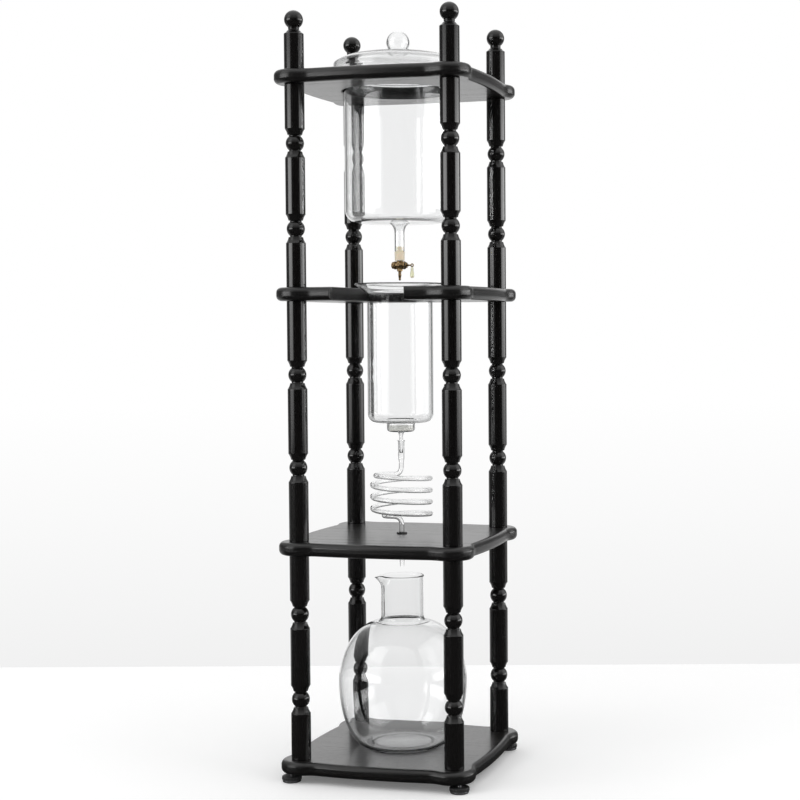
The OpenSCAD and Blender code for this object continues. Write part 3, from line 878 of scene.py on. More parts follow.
def weigh_normals(piece: Piece) -> None:
    """Makes the normals of large flat faces win, so that they shade flat beside rounded edges."""
    weigh = piece.modifiers.new("weigh", "WEIGHTED_NORMAL")
    weigh.keep_sharp, weigh.weight = True, 90


# The wooden tower


@dataclass
class BoardSet(Assembly):
    """The base and the three shelves, with their wavy outline, rounded edge and holes."""

    thickness: float = 21.0
    corner: float = 157.0
    lobe: float = 35.0
    dip: float = 1.0
    side: float = 900.0
    edge: float = 8.0
    face_inset: float = 1.5
    spacing: float = 1.6
    samples: int = 2880
    cove: float = 13.0
    cove_at: float = 101.3
    cove_core: float = 0.35
    cove_passes: int = 60
    past: float = 2.0
    soft: float = 1.5
    stud_hole: float = 4.05
    screw_head: float = 7.85
    screw_sink: float = 3.8
    nut_flange: float = 6.55
    nut_flange_deep: float = 1.5
    nut_hole: float = 5.05
    nut_deep: float = 17.0
    grommet_hole: float = 6.55
    grommet_soft: float = 0.4
    slot_half: float = 57.5
    slot_start: float = -0.3
    slot_mouth: float = 9.0
    slot_out: float = 6.0
    seat_r: float = 64.9
    seat_deep: float = 5.6
    vessel_hole: float = 89.0

    def outline(self) -> Loop:
        """Gives the outline of a board in plan.

        Returns:
            Evenly spaced points, anticlockwise, with a soft cove where each corner meets its sides.
        """
        lobe_at = self.corner - self.lobe
        centre = self.corner - self.dip - self.side
        raw = []
        for k in range(self.samples):
            a = math.tau * k / self.samples
            c, s = math.cos(a), math.sin(a)
            reach, small = max(abs(c), abs(s)), min(abs(c), abs(s))
            along = centre * reach
            radius = along + math.sqrt(along * along + self.side**2 - centre**2)
            along = lobe_at * (reach + small)
            inside = along * along - 2 * lobe_at**2 + self.lobe**2
            if inside > 0:
                radius = max(radius, along + math.sqrt(inside))
            raw.append(Vector((radius * c, radius * s, 0.0)))
        points = even_route([*raw, raw[0]], self.spacing)[:-1]
        count = len(points)
        for _ in range(self.cove_passes):
            moved = []
            for i, p in enumerate(points):
                back, ahead = points[i - 1], points[(i + 1) % count]
                hollow = (p - back).cross(ahead - p).z < 0
                near = self._valley(p)
                keep = 1.0 if near > 0 and (hollow or near > self.cove_core) else 0.0
                moved.append(p + (back + ahead - 2 * p) * 0.25 * near * keep)
            points = moved
        return [(p.x, p.y) for p in points]

    def _valley(self, p: Vector) -> float:
        """Gives 1 at the valley beside a corner and 0 beyond the cove's reach."""
        return max(0.0, 1.0 - abs(min(abs(p.x), abs(p.y)) - self.cove_at) / self.cove)

    def blank(self, name: str, low: float) -> Piece:
        """Builds a whole board.

        Args:
            name: the object's name.
            low: the height of its underside.

        Returns:
            The board without its holes.
        """
        shape = self.outline()
        normals = []
        for a, b in zip(shape[-1:] + shape[:-1], shape[1:] + shape[:1]):
            length = math.dist(a, b)
            normals.append(((b[1] - a[1]) / length, -(b[0] - a[0]) / length))
        section = [(self.edge + self.face_inset, 0.0)]
        for t in range(0, 91, 9):
            c, s = turn_point(t)
            section.append((self.edge - self.edge * s, self.edge - self.edge * c))
        section += [(inset, self.thickness - up) for inset, up in reversed(section)]
        rings = []
        for inset, up in section:
            rings.append([(x - n[0] * inset, y - n[1] * inset, low + up) for (x, y), n in zip(shape, normals)])
        return stack(name, rings, BOARD_CREASE)

    def _rim(self, half: float, low: float, soft: float) -> Loop:
        """Gives the side of a hole with softly rounded rims, from below its board to above it.

        Args:
            half: half the hole's width.
            low: the height of the board's underside.
            soft: the radius of the rounding at both faces.

        Returns:
            Points of half width and height.
        """
        high, wide = low + self.thickness, half + soft
        side = [(wide, low - self.past), *arc((wide, low + soft), soft, soft, 270, 180, 6)]
        side += arc((wide, high - soft), soft, soft, 180, 90, 6)
        return tidy_profile(side + [(wide, high + self.past)])

    def round_cutter(self, radius: float, low: float, soft: float) -> Piece:
        """Builds the cutter for a round hole with soft rims in a board whose underside is at low."""
        side = self._rim(radius, low, soft)
        return Lathe(steps=144).make("cutter", [(0.0, side[0][1]), *side, (0.0, side[-1][1])])

    def slot_cutter(self, low: float) -> Piece:
        """Builds the cutter for the slot that opens to the front.

        Args:
            low: the height of the board's underside.

        Returns:
            The closed cutter, which widens in a small curve where it leaves the board.
        """
        right = self._rim(self.slot_half, low, self.soft)
        front = -(self.corner - self.dip)
        stations = [(self.slot_start, 0.0)]
        for k in range(9):
            c, s = turn_point(90 * k / 8)
            stations.append((front + self.slot_mouth * (1 - s), self.slot_mouth * (1 - c)))
        stations.append((front - self.slot_out, self.slot_mouth))
        rings = []
        for y, wide in stations:
            ring = [(x + wide, z) for x, z in right] + [(-x - wide, z) for x, z in reversed(right)]
            rings.append([(x, y, z) for x, z in ring])
        return stack("cutter", rings)

    def seat_cutter(self, low: float) -> Piece:
        """Builds the cutter for the hole with the conical seat.

        Args:
            low: the height of the board's underside.

        Returns:
            The closed cutter.
        """
        high, wide = low + self.thickness, self.slot_half + self.soft
        seat = [(0.0, low - self.past), (wide, low - self.past)]
        seat += arc((wide, low + self.soft), self.soft, self.soft, 270, 180, 6)
        seat += [(self.slot_half, high - self.seat_deep), (self.seat_r, high), (self.seat_r, high + self.past)]
        return Lathe(steps=144).make("cutter", seat + [(0.0, high + self.past)])

    def base_cutters(self) -> list[Piece]:
        """Builds the cutters for the base's screws and foot nuts.

        Returns:
            A countersunk hole and a stepped hole for each corner.
        """
        below, above = BASE_Z - self.past, BASE_TOP + self.past
        flange_z, nut_z = BASE_Z + self.nut_flange_deep, BASE_Z + self.nut_deep
        sink = [(0.0, below), (self.screw_head, below), (self.screw_head, BASE_Z)]
        sink += [(self.stud_hole, BASE_Z + self.screw_sink), (self.stud_hole, above), (0.0, above)]
        nut = [(0.0, below), (self.nut_flange, below), (self.nut_flange, flange_z)]
        nut += [(self.nut_hole, flange_z), (self.nut_hole, nut_z), (0.0, nut_z)]
        cuts = []
        for x, y in CORNERS.values():
            for profile, at in ((sink, POST_AT), (nut, FOOT_AT)):
                cuts.append(Lathe(steps=48, at=(x * at, y * at, 0.0)).make("cutter", profile))
        return cuts

    def stud_cutters(self, low: float) -> list[Piece]:
        """Builds the cutters for the four stud holes of a shelf.

        Args:
            low: the height of the shelf's underside.

        Returns:
            The closed cutters.
        """
        below, above, r = low - self.past, low + self.thickness + self.past, self.stud_hole
        profile = [(0.0, below), (r, below), (r, above), (0.0, above)]
        places = [(x * POST_AT, y * POST_AT, 0.0) for x, y in CORNERS.values()]
        return [Lathe(steps=32, at=place).make("cutter", profile) for place in places]

    def build(self) -> list[Piece]:
        """Builds and dresses all four boards.

        Returns:
            The boards, from the base up.
        """
        base = self.blank("board_base", BASE_Z)
        carve(base, self.base_cutters())
        coil = self.blank("board_coil_shelf", COIL_SHELF_Z)
        hole = self.round_cutter(self.grommet_hole, COIL_SHELF_Z, self.grommet_soft)
        carve(coil, [*self.stud_cutters(COIL_SHELF_Z), hole])
        middle = self.blank("board_cylinder_shelf", CYL_SHELF_Z)
        carve(middle, [*self.stud_cutters(CYL_SHELF_Z), self.seat_cutter(CYL_SHELF_Z)])
        carve(middle, [self.slot_cutter(CYL_SHELF_Z)])
        top = self.blank("board_vessel_shelf", VESSEL_SHELF_Z)
        hole = self.round_cutter(self.vessel_hole, VESSEL_SHELF_Z, self.soft)
        carve(top, [*self.stud_cutters(VESSEL_SHELF_Z), hole])
        boards = {"base_board": base, "coil_shelf": coil, "cylinder_shelf": middle, "vessel_shelf": top}
        for node, board in boards.items():
            weigh_normals(board)
            self.dress(board, "board", "tower", node, "black_wood")
        return list(boards.values())


@dataclass
class PostSet(Assembly):
    """The twelve turned spindles and the four finials."""

    radius: float = 15.25
    bead: float = 14.0
    neck: float = 9.0
    bead_half: float = 12.0
    taper: float = 10.5
    taper_foot: float = 11.3
    taper_hollow: float = 0.45
    shoulder: float = 1.6
    step: float = 0.7
    cove: float = 1.1
    bore: float = 6.05
    bore_depth: float = 22.0
    soft: float = 0.6
    ball_at: float = 77.5
    ball: float = 14.5
    ball_neck: float = 8.5
    steps: int = 96
    crease: float = 28.0

    def bead_up(self, middle: float) -> Loop:
        """Gives the profile of one bead with the tapers beside it.

        Args:
            middle: the height of the bead's middle.

        Returns:
            The points from the lower straight part to the upper one.
        """
        lower = self._shoulder(middle)
        ball_half = math.degrees(math.acos(self.neck / self.bead))
        ball = arc((0.0, middle), self.bead, self.bead, -ball_half, ball_half, 28)
        return lower + ball + [(r, 2 * middle - z) for r, z in reversed(lower)]

    def _shoulder(self, middle: float) -> Loop:
        """Gives the taper below a bead.

        Args:
            middle: the height of the bead's middle.

        Returns:
            The points from the straight part up to the neck: a shoulder, a hollow taper and a small fillet.
        """
        low, turn_r = middle - self.bead_half - self.taper, self.shoulder
        turn = arc((self.radius - turn_r, low), turn_r, turn_r, 0, 52, 6)
        end = turn[-1]
        foot = (self.taper_foot, middle - self.bead_half - 1.3)
        taper = []
        for i in range(1, 9):
            t = i / 8
            hollow = self.taper_hollow * math.sin(math.pi * t)
            taper.append((end[0] + (foot[0] - end[0]) * t - hollow, end[1] + (foot[1] - end[1]) * t))
        step = arc((foot[0] - self.step, foot[1]), self.step, self.step, 0, 90, 4)
        cove = arc((self.neck + self.cove, foot[1] + 1.8), self.cove, self.cove, 270, 180, 5)
        return turn + taper + step + cove

    def spindle(self, low: float, length: float, bead_at: float) -> Loop:
        """Gives the profile of one spindle.

        Args:
            low: the height that it stands on.
            length: its length.
            bead_at: how far each bead is from its end.

        Returns:
            The points from the lower bore's end, over the outside, to the upper bore's end.
        """
        r, top = self.radius, low + length
        floor, roof = low + self.bore_depth, top - self.bore_depth
        first, second = self.bead_up(low + bead_at), self.bead_up(low + length - bead_at)
        profile = [(0.0, floor), (self.bore, floor), (self.bore, low), (r - self.soft, low), (r, low + self.soft)]
        profile += line((r, low + self.soft + 1), (r, first[0][1] - 1), 6)
        profile += first + line((r, first[-1][1] + 1), (r, second[0][1] - 1), 8) + second
        profile += line((r, second[-1][1] + 1), (r, top - self.soft - 1), 6)
        profile += [(r, top - self.soft), (r - self.soft, top), (self.bore, top), (self.bore, roof)]
        return profile + [(0.0, roof)]

    def finial(self, low: float) -> Loop:
        """Gives the profile of one finial.

        Args:
            low: the height that it stands on.

        Returns:
            The points from the bore's end, over the outside, to the top of its ball.
        """
        r, floor, ball_z, turn_r = self.radius, low + self.bore_depth, low + self.ball_at, self.shoulder
        start = math.degrees(math.acos(self.ball_neck / self.ball))
        profile = [(0.0, floor), (self.bore, floor), (self.bore, low), (r - self.soft, low), (r, low + self.soft)]
        profile += line((r, low + 2), (r, low + 54.6), 5)
        profile += arc((r - turn_r, low + 55.2), turn_r, turn_r, 0, 58, 6)
        profile += [(12.9, low + 57.5), (11.6, low + 58.9), (10.6, low + 60.3)]
        profile += arc((self.ball_neck + 1.4, low + 62.6), 1.4, 1.6, 250, 170, 5)
        profile += arc((0.0, ball_z), self.ball, self.ball, -start, 90, 34)
        profile[-1] = (0.0, ball_z + self.ball)
        return profile

    def build(self) -> list[Piece]:
        """Builds and dresses all posts.

        Returns:
            The spindles and finials.
        """
        bays = {
            "lower": (BASE_TOP, COIL_SHELF_Z - BASE_TOP, 93.5),
            "middle": (COIL_SHELF_TOP, CYL_SHELF_Z - COIL_SHELF_TOP, 114.0),
            "upper": (CYL_SHELF_TOP, VESSEL_SHELF_Z - CYL_SHELF_TOP, 90.0),
        }
        profiles = {(f"post_{bay}", f"spindle_{bay}"): self.spindle(*sizes) for bay, sizes in bays.items()}
        profiles["post_finial", "finial"] = self.finial(VESSEL_SHELF_TOP)
        made = []
        for corner, (x, y) in CORNERS.items():
            lathe = Lathe(steps=self.steps, at=(x * POST_AT, y * POST_AT, 0.0))
            for (name, node), profile in profiles.items():
                piece = lathe.make(f"{name}_{corner}", profile, sharp=self.crease)
                made.append(self.dress(piece, "post", "tower", f"{node}_{corner}", "black_wood"))
        return made


@dataclass
class Fasteners(Assembly):
    """The screws, studs, inserts and nuts that hold the tower together, kept as the CAD gives them."""

    steel: tuple[str, ...] = (
        "base_screws", "coil_shelf_studs", "cylinder_shelf_studs", "vessel_shelf_studs", "foot_nuts"
    )
    brass: tuple[str, ...] = ("lower_inserts", "middle_inserts", "upper_inserts", "finial_inserts")

    def build(self, nodes: dict[str, Piece]) -> list[Piece]:
        """Gives the kept ones among the CAD nodes their finishes, and returns those."""
        steel = [self.dress_node(nodes[name], "steel") for name in self.steel]
        return steel + [self.dress_node(nodes[name], "insert") for name in self.brass]


@dataclass
class Foot(Assembly):
    """One levelling foot: a fluted black grip ring on a bright glide with its stud."""

    corner: str
    radius: float = 15.5
    glide_h: float = 4.0
    gap: float = 0.02
    grip_h: float = 5.5
    stud: float = 3.0
    stud_top: float = 25.0
    pitch: float = 1.0
    thread: float = 0.35
    ribs: int = 24
    rib_depth: float = 0.55

    def grip(self) -> Loop:
        """Gives the grip ring's profile.

        Returns:
            The closed profile, with a groove in its top.
        """
        r, bore, low, high = self.radius, self.stud + 0.1, self.glide_h + self.gap, self.glide_h + self.grip_h
        profile = [(bore, low), (r - 1.2, low), *arc((r - 0.6, low + 0.6), 0.6, 0.6, 270, 360, 4)]
        profile += line((r, low + 0.8), (r, high - 2.4), 3) + arc((r - 2.2, high - 2.2), 2.2, 2.2, 0, 90, 8)
        return profile + [(10.5, high), (10.2, high - 0.3), (9.4, high - 0.3), (9.1, high), (bore, high)]

    def glide(self) -> Loop:
        """Gives the glide's profile.

        Returns:
            The points from the floor's middle to the stud's top, with a ridge for each turn of the thread.
        """
        r, stud, top = self.radius - 1.0, self.stud, self.stud_top
        profile = [(0.0, 0.0), (r - 3.0, 0.0), *arc((r - 1.6, 1.6), 1.6, 1.6, 270, 360, 6)]
        profile += [(r, 2.6), (r - 0.35, 2.75), (r - 0.35, 3.0), (r, 3.15)]
        profile += [(r, self.glide_h), (stud, self.glide_h)]
        z = self.glide_h + self.grip_h + 0.3
        profile.append((stud, z))
        while z < top - self.pitch:
            profile += [(stud, z + 0.1), (stud - self.thread, z + 0.5), (stud, z + 0.9)]
            z += self.pitch
        return profile + [(stud, top - 0.5), (stud - 0.6, top), (0.0, top)]

    def build(self) -> list[Piece]:
        """Builds and dresses the foot.

        Returns:
            The grip ring and the glide.
        """
        x, y = CORNERS[self.corner]
        lathe = Lathe(steps=144, at=(x * FOOT_AT, y * FOOT_AT, 0.0))
        low, high = self.glide_h + self.gap, self.glide_h + self.grip_h
        bm = bmesh.new()
        lathe.turn(bm, self.grip(), True, Flutes(self.ribs, self.rib_depth, low + 0.5, high - 1.1))
        grip = finish_mesh(f"foot_grip_ring_{self.corner}", bm)
        glide = lathe.make(f"foot_glide_disc_{self.corner}", self.glide(), sharp=30.0)
        body = f"foot_{self.corner}"
        self.dress(grip, "grip", body, f"foot_grip_{self.corner}", "foot_plastic")
        self.dress(glide, "chrome", body, f"foot_glide_{self.corner}", "foot_chrome")
        return [grip, glide]


# The glass


@dataclass
class WaterVessel(Assembly):
    """The tall vessel with its flared rim and its outlet tube."""

    radius: float = 86.0
    wall: float = 3.0
    bottom: float = 872.0
    rim: float = 1100.3
    rim_r: float = 100.0
    rim_t: float = 4.0
    corner: float = 20.0
    outlet_r: float = 8.0
    outlet_wall: float = 1.8
    outlet_low: float = 826.5
    outlet_lip: float = 0.9
    outlet_flare: float = 12.0
    cone: float = 16.0

    def build(self) -> list[Piece]:
        """Builds and dresses the vessel.

        Returns:
            The vessel, whose wall is closed.
        """
        r, w, low, lip = self.radius, self.wall, self.bottom, self.outlet_lip
        flare, bore = self.outlet_r + self.outlet_flare, self.outlet_r - self.outlet_wall
        cone_z, turn_r, turn_z = low - self.cone, r - self.corner, low + self.corner
        half_rim, top = self.rim_t / 2, self.rim + self.rim_t
        outer = arc((self.outlet_r - lip, self.outlet_low + lip), lip, lip, 270, 360, 6)
        outer += line((self.outlet_r, self.outlet_low + 2), (self.outlet_r, cone_z), 5)
        outer += arc((flare, cone_z), self.outlet_flare, self.cone, 180, 92, 14)
        outer += line((flare + 3, low), (turn_r - 3, low), 10)
        outer += arc((turn_r, turn_z), self.corner, self.corner, -90, 0, 20)
        outer += line((r, turn_z + 3), (r, self.rim - 6), 14)
        outer += arc((r + 4.0, self.rim - 4.0), 4.0, 4.0, 180, 90, 10)
        outer += line((r + 5.0, self.rim), (self.rim_r - 3.0, self.rim), 3)
        outer += arc((self.rim_r - half_rim, self.rim + half_rim), half_rim, half_rim, -90, 90, 12)
        inner = line((self.rim_r - 3.0, top), (r + 5.0, top), 3)
        inner += arc((r - w + 6.0, top - 6.0), 6.0, 6.0, 90, 180, 10)
        inner += line((r - w, self.rim - 6), (r - w, turn_z + 3), 14)
        inner += arc((turn_r, turn_z), self.corner - w, self.corner - w, 0, -90, 20)
        inner += line((turn_r - 3, low + w), (flare + 5, low + w), 10)
        inner += arc((flare, cone_z + 3), flare - bore, self.cone, 88, 180, 14)
        inner += line((bore, cone_z), (bore, self.outlet_low + 2), 5)
        inner += arc((bore + lip, self.outlet_low + lip), lip, lip, 180, 270, 4)
        piece = Lathe(steps=160).make("glass_water_vessel", outer + inner, True, GLASS_CREASE)
        return [self.dress(piece, "glass", "vessel", "water_vessel", "clear_glass")]


@dataclass
class VesselLid(Assembly):
    """The domed lid with its rolled edge, its skirt and its blown ball knob."""

    radius: float = 102.5
    low: float = 1104.6
    wall: float = 3.0
    side: float = 15.5
    dome: float = 21.5
    skirt_r: float = 81.5
    skirt: float = 4.0
    knob: float = 18.5
    knob_z: float = 1157.1
    knob_wall: float = 2.4
    hollow_lift: float = 0.4
    neck: float = 11.5

    def outer(self) -> Loop:
        """Gives the profile over the outside.

        Returns:
            The points from the skirt, over the rolled edge and the dome, to the knob's top.
        """
        r, shoulder, roll, base = self.radius, self.low + self.side, self.wall / 2, self.low + self.wall
        outer = line((self.skirt_r + 1.2, self.low), (r - roll - 1, self.low), 5)
        outer += arc((r - roll, self.low + roll), roll, roll, -90, 90, 10)
        outer += [(r - 0.9, base + 1.1), (r - 0.4, base + 2.4), (r, base + 4.2)]
        outer += line((r, base + 6), (r, shoulder - 1.0), 3)
        outer += arc((0.0, shoulder), r, self.dome, 0, math.degrees(math.acos(self.neck / r)), 56)
        foot, ball_low = outer[-1][1], self.knob_z - math.sqrt(self.knob**2 - self.neck**2)
        outer += arc((self.neck + 0.5, (foot + ball_low) / 2), 1.1, (ball_low - foot) / 2 + 0.1, 250, 112, 6)
        start = -math.degrees(math.acos(self.neck / self.knob))
        outer += arc((0.0, self.knob_z), self.knob, self.knob, start, 90, 30)
        outer[-1] = (0.0, self.knob_z + self.knob)
        return outer

    def under(self) -> Loop:
        """Gives the profile of the underside.

        Returns:
            The points from the dome's middle to the skirt.
        """
        r, w, roll = self.radius, self.wall, self.wall / 2
        shoulder, base = self.low + self.side, self.low + w
        under = arc((0.0, shoulder), r - w, self.dome - w, 90, 0, 56)
        under[0] = (0.0, shoulder + self.dome - w)
        under += line((r - w, shoulder - 1.0), (r - w, base + 4), 3)
        under += arc((r - w - 3.0, base + 3.0), 3.0, 3.0, 0, -90, 6)
        under += line((r - w - 5.0, base), (self.skirt_r + 1.0, base), 3)
        under += arc((self.skirt_r - w + 2.0, base - 2.0), 2.0, 2.0, 90, 180, 5)
        under += arc((self.skirt_r - roll, self.low - self.skirt + roll), roll, roll, 180, 360, 10)
        return under + [(self.skirt_r, self.low - 1.2), (self.skirt_r + 0.4, self.low - 0.4)]

    def hollow(self) -> Loop:
        """Gives the profile of the knob's blown hollow.

        Returns:
            The points from its top to its drawn-in foot.
        """
        r, middle = self.knob - self.knob_wall, self.knob_z + self.hollow_lift
        hollow = arc((0.0, middle), r, r, 90, -58, 28)
        hollow[0] = (0.0, middle + r)
        x, z = hollow[-1]
        return hollow + [(x - 2.6, z - 1.1), (4.2, z - 1.2), (2.0, z - 0.4), (0.0, z)]

    def build(self) -> list[Piece]:
        """Builds and dresses the lid.

        Returns:
            The lid with its knob, in one mesh; the faces of the knob's hollow are turned inwards.
        """
        lathe = Lathe(steps=160)
        shell = lathe.make("glass_lid", self.under() + self.outer(), sharp=GLASS_CREASE)
        bm = bmesh.new()
        lathe.turn(bm, self.hollow())
        bmesh.ops.recalc_face_normals(bm, faces=bm.faces)
        bmesh.ops.reverse_faces(bm, faces=bm.faces)
        bm.from_mesh(shell.data)
        bm.to_mesh(shell.data)
        bm.free()
        shell.data.shade_smooth()
        shell.data.set_sharp_from_angle(angle=math.radians(GLASS_CREASE))
        return [self.dress(shell, "glass", "lid", "lid", "clear_glass")]


@dataclass
class BrewCylinder(Assembly):
    """The brew cylinder with its flared mouth, its filter cup and its stem, and the porous disc."""

    radius: float = 52.5
    wall: float = 3.0
    bottom: float = 554.0
    flare_z: float = 759.0
    flare_out: Point2 = (71.4, 773.3)
    flare_in: Point2 = (69.4, 775.4)
    mouth: float = 776.0
    mouth_r: float = 72.0
    lip: float = 1.5
    corner: float = 14.0
    cup_r: float = 22.5
    cup_z: float = 539.0
    cup_wall: float = 2.5
    stem_r: float = 3.2
    stem_wall: float = 1.3
    stem_z: float = 505.0
    disc_h: float = 7.9
    disc_gap: float = 0.35
    disc_edge: float = 0.6

    def outer(self) -> Loop:
        """Gives the profile over the outside.

        Returns:
            The points from the stem's tip to the rolled mouth.
        """
        r, low, flare = self.radius, self.bottom, self.flare_z
        cup, cup_z, stem = self.cup_r, self.cup_z, self.stem_r
        turn_r, turn_z = r - self.corner, low + self.corner
        outer = [(stem - 0.9, self.stem_z), (stem - 0.45, self.stem_z + 0.3)]
        outer += line((stem, self.stem_z + 8), (stem, cup_z - 9), 6)
        outer += arc((stem + 4, cup_z - 9), 4, 9, 180, 92, 10)
        outer += line((stem + 5, cup_z), (cup - 5, cup_z), 4)
        outer += arc((cup - 5, cup_z + 5), 5, 5, -90, 0, 12)
        outer += arc((cup + 2, low - 2), 2, 2, 180, 92, 6)
        outer += line((cup + 3, low), (turn_r, low), 6)
        outer += arc((turn_r, turn_z), self.corner, self.corner, -90, 0, 16)
        outer += line((r, turn_z + 4), (r, flare - 5), 14)
        outer += [(r + 0.15, flare - 2.5), (r + 0.7, flare - 0.4), (r + 2.0, flare + 1.5)]
        outer += line((r + 4.0, flare + 3.03), self.flare_out, 8)
        return outer + arc((self.mouth_r - self.lip, self.mouth - self.lip), self.lip, self.lip, -45, 135, 12)

    def inner(self) -> Loop:
        """Gives the profile of the inside.

        Returns:
            The points from the mouth, through the cup, to the stem's bore.
        """
        r, w, low, flare = self.radius, self.wall, self.bottom, self.flare_z
        turn_r, turn_z, cup_low = r - self.corner, low + self.corner, self.cup_z + self.cup_wall
        cup, bore = self.cup_r - self.cup_wall, self.stem_r - self.stem_wall
        inner = line(self.flare_in, (r + 1.6, flare + 4.6), 8)
        inner += [(r - 0.6, flare + 2.4), (r - 2.0, flare + 0.2), (r - w + 0.1, flare - 3)]
        inner += line((r - w, flare - 6), (r - w, turn_z + 3), 14)
        inner += arc((turn_r, turn_z), self.corner - w, self.corner - w, 0, -90, 16)
        inner += line((turn_r - 2, low + w), (cup + w + 2, low + w), 5)
        inner += arc((cup + w + 1, low - 1), w + 1, w + 1, 92, 180, 8)
        inner += line((cup, low - 2), (cup, cup_low + 1.5), 4)
        inner += arc((cup - 1.5, cup_low + 1.5), 1.5, 1.5, 0, -90, 5)
        inner += line((cup - 3, cup_low), (bore + 1.5, cup_low), 4)
        return inner + [(bore, cup_low - 1.2), (bore, self.cup_z - 12), (bore, self.stem_z + 0.4)]

    def disc(self) -> Piece:
        """Builds the porous disc that lies in the cup.

        Returns:
            The disc, with bevelled edges.
        """
        low, cut = self.cup_z + self.cup_wall + 0.05, self.disc_edge
        high, rim = low + self.disc_h, self.cup_r - self.cup_wall - self.disc_gap
        rows = [(0.0, low), (rim - cut, low), (rim, low + cut), (rim, high - cut), (rim - cut, high), (0.0, high)]
        return Lathe(steps=96).make("ceramic_filter_disc", rows)

    def build(self) -> list[Piece]:
        """Builds and dresses the cylinder and its disc.

        Returns:
            The cylinder and the disc.
        """
        profile = self.outer() + self.inner()
        piece = Lathe(steps=144).make("glass_brew_cylinder", profile, True, GLASS_CREASE)
        self.dress(piece, "glass", "cylinder", "brew_cylinder", "clear_glass")
        return [piece, self.dress(self.disc(), "ceramic", "cylinder", "filter_disc", "ceramic")]


@dataclass
class GlassCoil(Assembly):
    """The coil: a flared socket, an arm, four turns of hollow tube, an arm and the tip."""

    turns: int = 4
    radius: float = 46.5
    tube: float = 4.0
    bore: float = 2.8
    high: float = 470.0
    low: float = 402.0
    bend: float = 10.0
    arm: float = 70.0
    socket_top: float = 525.0
    socket_low: float = 499.0
    socket_taper: float = 11.0
    socket_r: float = 5.2
    socket_bore: float = 3.8
    lip: float = 1.3
    lip_h: float = 3.5
    tip: float = 322.0
    tip_soft: float = 0.9
    per_turn: int = 48
    heading: float = 180.0
    fine: float = 1.0
    passes: int = 26
    held: int = 3
    spacing: float = 2.2
    sides: int = 20

    def route(self) -> list[Vector]:
        """Gives the tube's middle line.

        Returns:
            Points in millimetres, from the socket's mouth down to the tip.
        """
        down = [Vector((0.0, 0.0, z)) for z in (self.socket_top, self.socket_low, self.high + self.bend + 4)]
        turns = []
        count = self.turns * self.per_turn
        for i in range(1, count):
            a = self.heading + self.arm + (360 * self.turns - 2 * self.arm) * i / count
            turns.append(self._polar(self.radius, a, self.high + (self.low - self.high) * i / count))
        out = [Vector((0.0, 0.0, self.low - self.bend - 4)), Vector((0.0, 0.0, self.tip))]
        whole = down + self._arm(self.high, 1.0) + turns + self._arm(self.low, -1.0)[::-1] + out
        return smooth_route(even_route(whole, self.fine), self.passes, self.held)

    @staticmethod
    def _polar(radius: float, angle: float, z: float) -> Vector:
        """Gives the point at a radius, an angle in degrees and a height."""
        c, s = turn_point(angle)
        return Vector((radius * c, radius * s, z))

    def _arm(self, z: float, way: float) -> list[Vector]:
        """Gives an arm from the axis out to the coil's circle.

        Args:
            z: the arm's height.
            way: 1 for the upper arm, which comes from above, and -1 for the lower one.

        Returns:
            The points of the quarter bend and of the arm, which swings into the circle.
        """
        points = []
        for i in range(9):
            c, s = turn_point(90 * i / 8)
            points.append(self._polar(self.bend * (1 - c), self.heading, z + way * self.bend * (1 - s)))
        for i in range(1, 17):
            t = i / 16
            reach = self.bend + (self.radius - self.bend) * math.sin(math.radians(90 * t))
            points.append(self._polar(reach, self.heading + way * self.arm * t * t, z))
        return points

    def radii(self, route: Sequence[Vector]) -> tuple[list[float], list[float]]:
        """Gives the outer and inner radius along the route.

        Args:
            route: the tube's middle line.

        Returns:
            Both lists, with the socket's lip and its taper.
        """
        outer, inner = [], []
        for p in route:
            lip = max(0.0, 1 - (self.socket_top - p.z) / self.lip_h) ** 2 * self.lip
            on_axis = 1.0 if math.hypot(p.x, p.y) < 0.5 and p.z > self.high else 0.0
            taper = (p.z - (self.socket_low - self.socket_taper)) / self.socket_taper
            t = min(1.0, max(0.0, taper)) * on_axis
            ease = t * t * (3 - 2 * t)
            outer.append(self.tube + (self.socket_r - self.tube) * ease + lip * on_axis)
            inner.append(self.bore + (self.socket_bore - self.bore) * ease + 0.6 * lip * on_axis)
        for i in range(6):
            outer[-1 - i] -= self.tip_soft * (1 - i / 6) ** 2
        return outer, inner

    def build(self) -> list[Piece]:
        """Builds and dresses the coil.

        Returns:
            The coil, as one hollow tube.
        """
        route = even_route(self.route(), self.spacing)
        bm = bmesh.new()
        sweep(bm, route, *self.radii(route), self.sides)
        piece = finish_mesh("glass_coil", bm, GLASS_CREASE)
        return [self.dress(piece, "glass", "coil", "coil", "clear_glass")]


